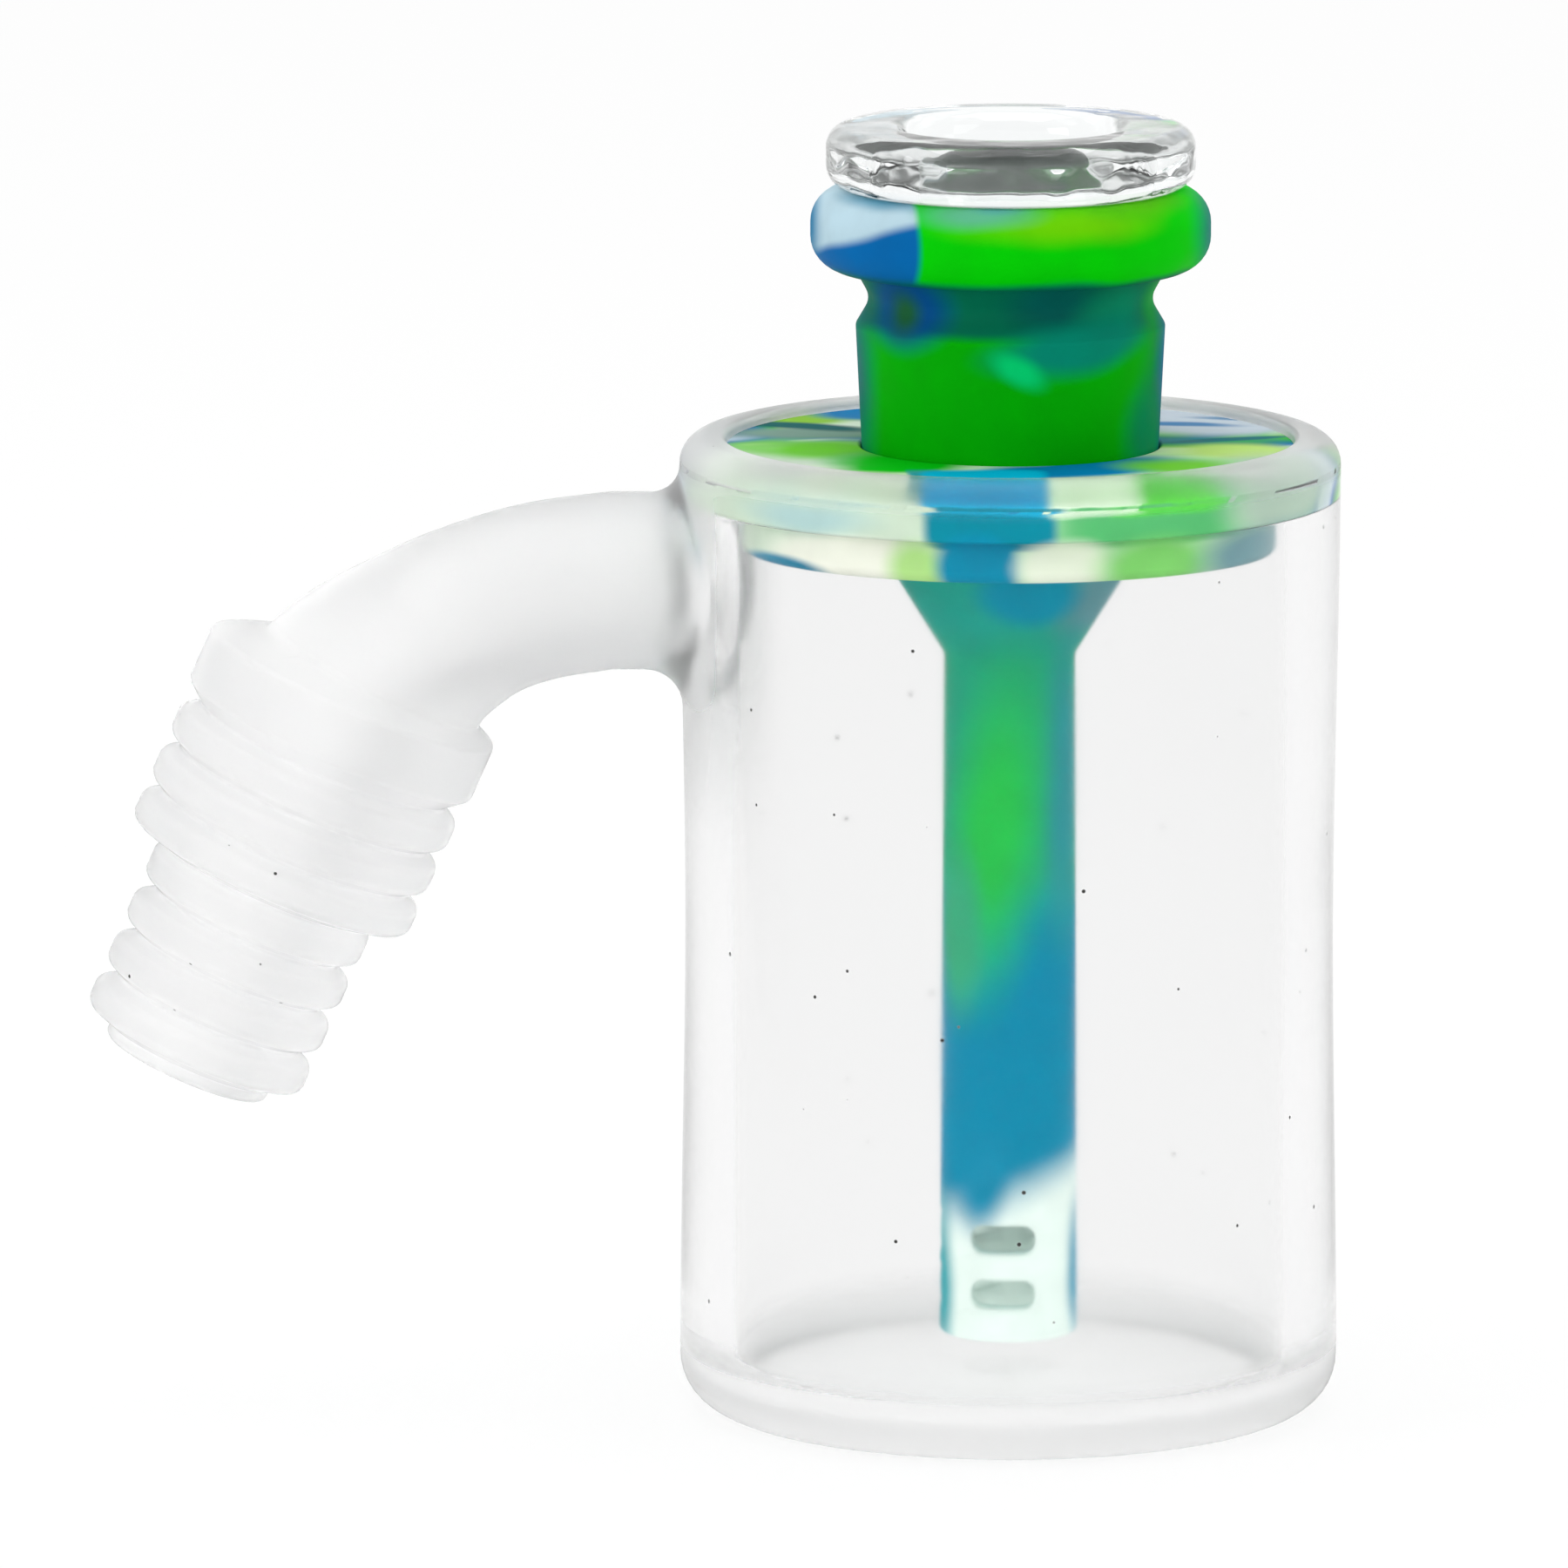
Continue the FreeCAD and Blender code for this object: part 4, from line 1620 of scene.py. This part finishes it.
@dataclass
class Downstem(Piece):
    """The marbled downstem: flared rim, groove, tapered neck, funnel and slotted tube."""

    name: str = "marbled_downstem"
    node: Node = Node.DOWNSTEM
    body: Body = Body.STEM
    slot: Slot = Slot.MARBLED_SILICONE
    finish: Finish = MarbledSilicone(
        # The downstem's colours hold painted shade, painted sheen and painted light besides its
        # pigments
        "platinum silicone, moulded, marbled for the downstem",
        ("#00B40A", "#16A63E", "#0E8C7C", "#0A70B4", "#0A86C6", "#BFDCE0"),
        DOWNSTEM_PIGMENT_AND_PAINTED_LIGHT,
    )

    columns: int = 192
    neck_low: float = 58.4
    neck_shoulder: float = 71.5
    neck_round: float = 0.5
    groove: Corner = Corner(9.05, 73.2, 1.3)
    rim_neck: float = 10.1
    rim: float = 13.0
    rim_bottom: float = 75.1
    rim_top: float = 80.4
    rim_round: float = 2.2
    socket_bottom: float = 57.4
    socket_round: float = 0.4
    funnel_bottom: float = 51.2
    funnel_round: float = 1.0
    tube_top: Point = (4.25, 50.2)
    tube_end: Point = (4.5, 5.0)
    tube_bore: float = 2.8
    tube_end_round: float = 0.4
    slot_heights: Point = (8.1, 11.7)
    slot_directions: Triple = (-96.0, 24.0, 144.0)
    slot_half: Point = (2.05, 0.95)
    slot_round: float = 0.8
    slot_lip: float = 0.25
    slot_lip_share: float = 0.3
    slot_inner_lip: float = 0.1
    window_columns: int = 28
    window_half: float = 1.6
    window_rows: int = 16

    def tube(self, z: float) -> float:
        """Return the tube's outer radius at a height."""
        (top, high), (end, low) = self.tube_top, self.tube_end
        return end + (top - end) * (z - low) / (high - low)

    def profile(self) -> list[Point]:
        """Lay out the downstem, from its end up its outside and down its bore.

        Returns:
            The radius and height of each row.
        """
        heights = []
        for middle in self.slot_heights:
            heights += evenly(middle - self.window_half, middle + self.window_half, self.window_rows)
        corners = [
            Corner(self.tube_bore, self.tube_end[1], self.tube_end_round),
            Corner(*self.tube_end, self.tube_end_round),
        ]
        corners += [Corner(self.tube(z), z) for z in heights]
        corners += [
            Corner(*self.tube_top, self.funnel_round),
            Corner(NECK.r, self.neck_low, self.neck_round),
            Corner(NECK.at(self.neck_shoulder), self.neck_shoulder, self.neck_round),
            self.groove,
            Corner(self.rim_neck, self.rim_bottom, self.neck_round),
            Corner(self.rim, self.rim_bottom, self.rim_round),
            Corner(self.rim, self.rim_top, self.rim_round),
            Corner(SOCKET.r, self.rim_top, self.socket_round),
            Corner(SOCKET.at(self.socket_bottom), self.socket_bottom, self.socket_round),
            Corner(self.tube_bore, self.funnel_bottom, self.funnel_round),
        ]
        corners += [Corner(self.tube_bore, z) for z in reversed(heights)]
        return rounded(corners)

    def skin(self) -> Skin:
        """Turn the downstem, and set the slots into its tube.

        Returns:
            The downstem's skin, in place.
        """
        skin = Skin()
        profile = self.profile()
        spread = 360.0 / len(self.slot_directions)
        start = self.slot_directions[0] - spread / 2
        pairs = []
        for direction in self.slot_directions:
            middle = round((direction - start) / 360.0 * self.columns)
            sides = (middle - self.window_columns, middle + self.window_columns)
            for height in self.slot_heights:
                low, high = height - self.window_half, height + self.window_half
                outer_row = row_at(profile, self.tube(low), low)
                inner_row = row_at(profile, self.tube_bore, high)
                outer = Window((outer_row, outer_row + self.window_rows), sides)
                inner = Window((inner_row, inner_row + self.window_rows), sides)
                pairs.append((math.radians(direction), height, outer, inner))
        windows = [window for pair in pairs for window in pair[2:]]
        rings = skin.turn(profile, self.columns, math.radians(start), windows)
        for direction, height, outer, inner in pairs:
            self.cut_slot(skin, rings, outer, Facing(direction, height, self.tube), inner)
        return skin

    def cut_slot(
        self,
        skin: Skin,
        rings: Sequence[Ring],
        outer: Window,
        outside: Facing,
        inner: Window,
    ) -> None:
        """Set one slot with rounded lips through the tube's wall.

        Args:
            skin: The downstem's skin.
            rings: The rows of its wall.
            outer: The window in the outer wall.
            outside: The plane that the slot is laid out on.
            inner: The window in the bore.
        """
        inside = Facing(outside.direction, outside.height, lambda z: self.tube_bore)
        start = outside.in_order(outer.edge(rings))
        end = inside.in_order(inner.edge(rings))
        lip, thin = self.slot_lip, self.slot_inner_lip
        eased = lip * self.slot_lip_share
        stages = [
            (outside, start, lip, 0.0),
            (outside, start, eased, -eased),
            (outside, start, 0.0, -lip),
            (inside, end, 0.0, thin),
            (inside, end, thin, 0.0),
        ]
        half_wide, half_tall = self.slot_half
        rows = []
        for facing, loop, grow, out in stages:
            row = []
            for angle in map(facing.angle, loop):
                reach = box_reach(angle, half_wide + grow, half_tall + grow, self.slot_round + grow)
                row.append(facing.polar(angle, reach, out))
            rows.append(row)
        skin.bridge(start, rows, end)


@dataclass
class GlassBowl(Piece):
    """The clear glass bowl: domed flange, bowl and tapered stem."""

    name: str = "clear_bowl"
    node: Node = Node.BOWL
    body: Body = Body.BOWL
    slot: Slot = Slot.CLEAR_GLASS
    finish: Finish = field(default_factory=ClearGlass)

    columns: int = 192
    flange: float = 12.0
    flange_bottom: float = 80.43
    flange_top: float = 84.5
    under_round: float = 1.5
    dome_round: float = 1.4
    stem_root_round: float = 0.3
    stem_bottom: float = 60.4
    stem_end_round: float = 0.6
    stem_bore: float = 4.3
    stem_bore_top: float = 66.5
    stem_bore_round: float = 0.8
    mouth: float = 6.6
    mouth_round: float = 1.6
    low: Corner = Corner(5.6, 75.5, 3.0)
    outlet: float = 2.0
    outlet_top: float = 71.5
    outlet_bottom: float = 69.5
    outlet_round: float = 0.4

    def skin(self) -> Skin:
        """Turn the bowl.

        Returns:
            The bowl's skin, in place.
        """
        skin = Skin()
        profile = rounded([
            Corner(self.stem_bore, self.stem_bottom, self.stem_end_round),
            Corner(SOCKET.at(self.stem_bottom) - SEAT_GAP, self.stem_bottom, self.stem_end_round),
            Corner(SOCKET.r - SEAT_GAP, self.flange_bottom, self.stem_root_round),
            Corner(self.flange, self.flange_bottom, self.under_round),
            Corner(self.flange, self.flange_top, self.dome_round),
            Corner(self.mouth, self.flange_top, self.mouth_round),
            self.low,
            Corner(self.outlet, self.outlet_top, self.outlet_round),
            Corner(self.outlet, self.outlet_bottom, self.outlet_round),
            Corner(self.stem_bore, self.stem_bore_top, self.stem_bore_round),
        ])
        skin.turn(profile, self.columns)
        return skin


def main() -> None:
    """Build the studio, the camera and the pieces, in order."""
    logging.basicConfig(level=logging.INFO, format="%(message)s")
    PhotoCamera().build()
    Studio().build()
    for maker in (ChamberCup(), Lid(), Downstem(), GlassBowl()):
        piece = maker.build()
        LOG.info("%s: %d faces on body %s", piece.name, len(piece.data.polygons), maker.body.value)


if __name__ == "__main__":
    main()
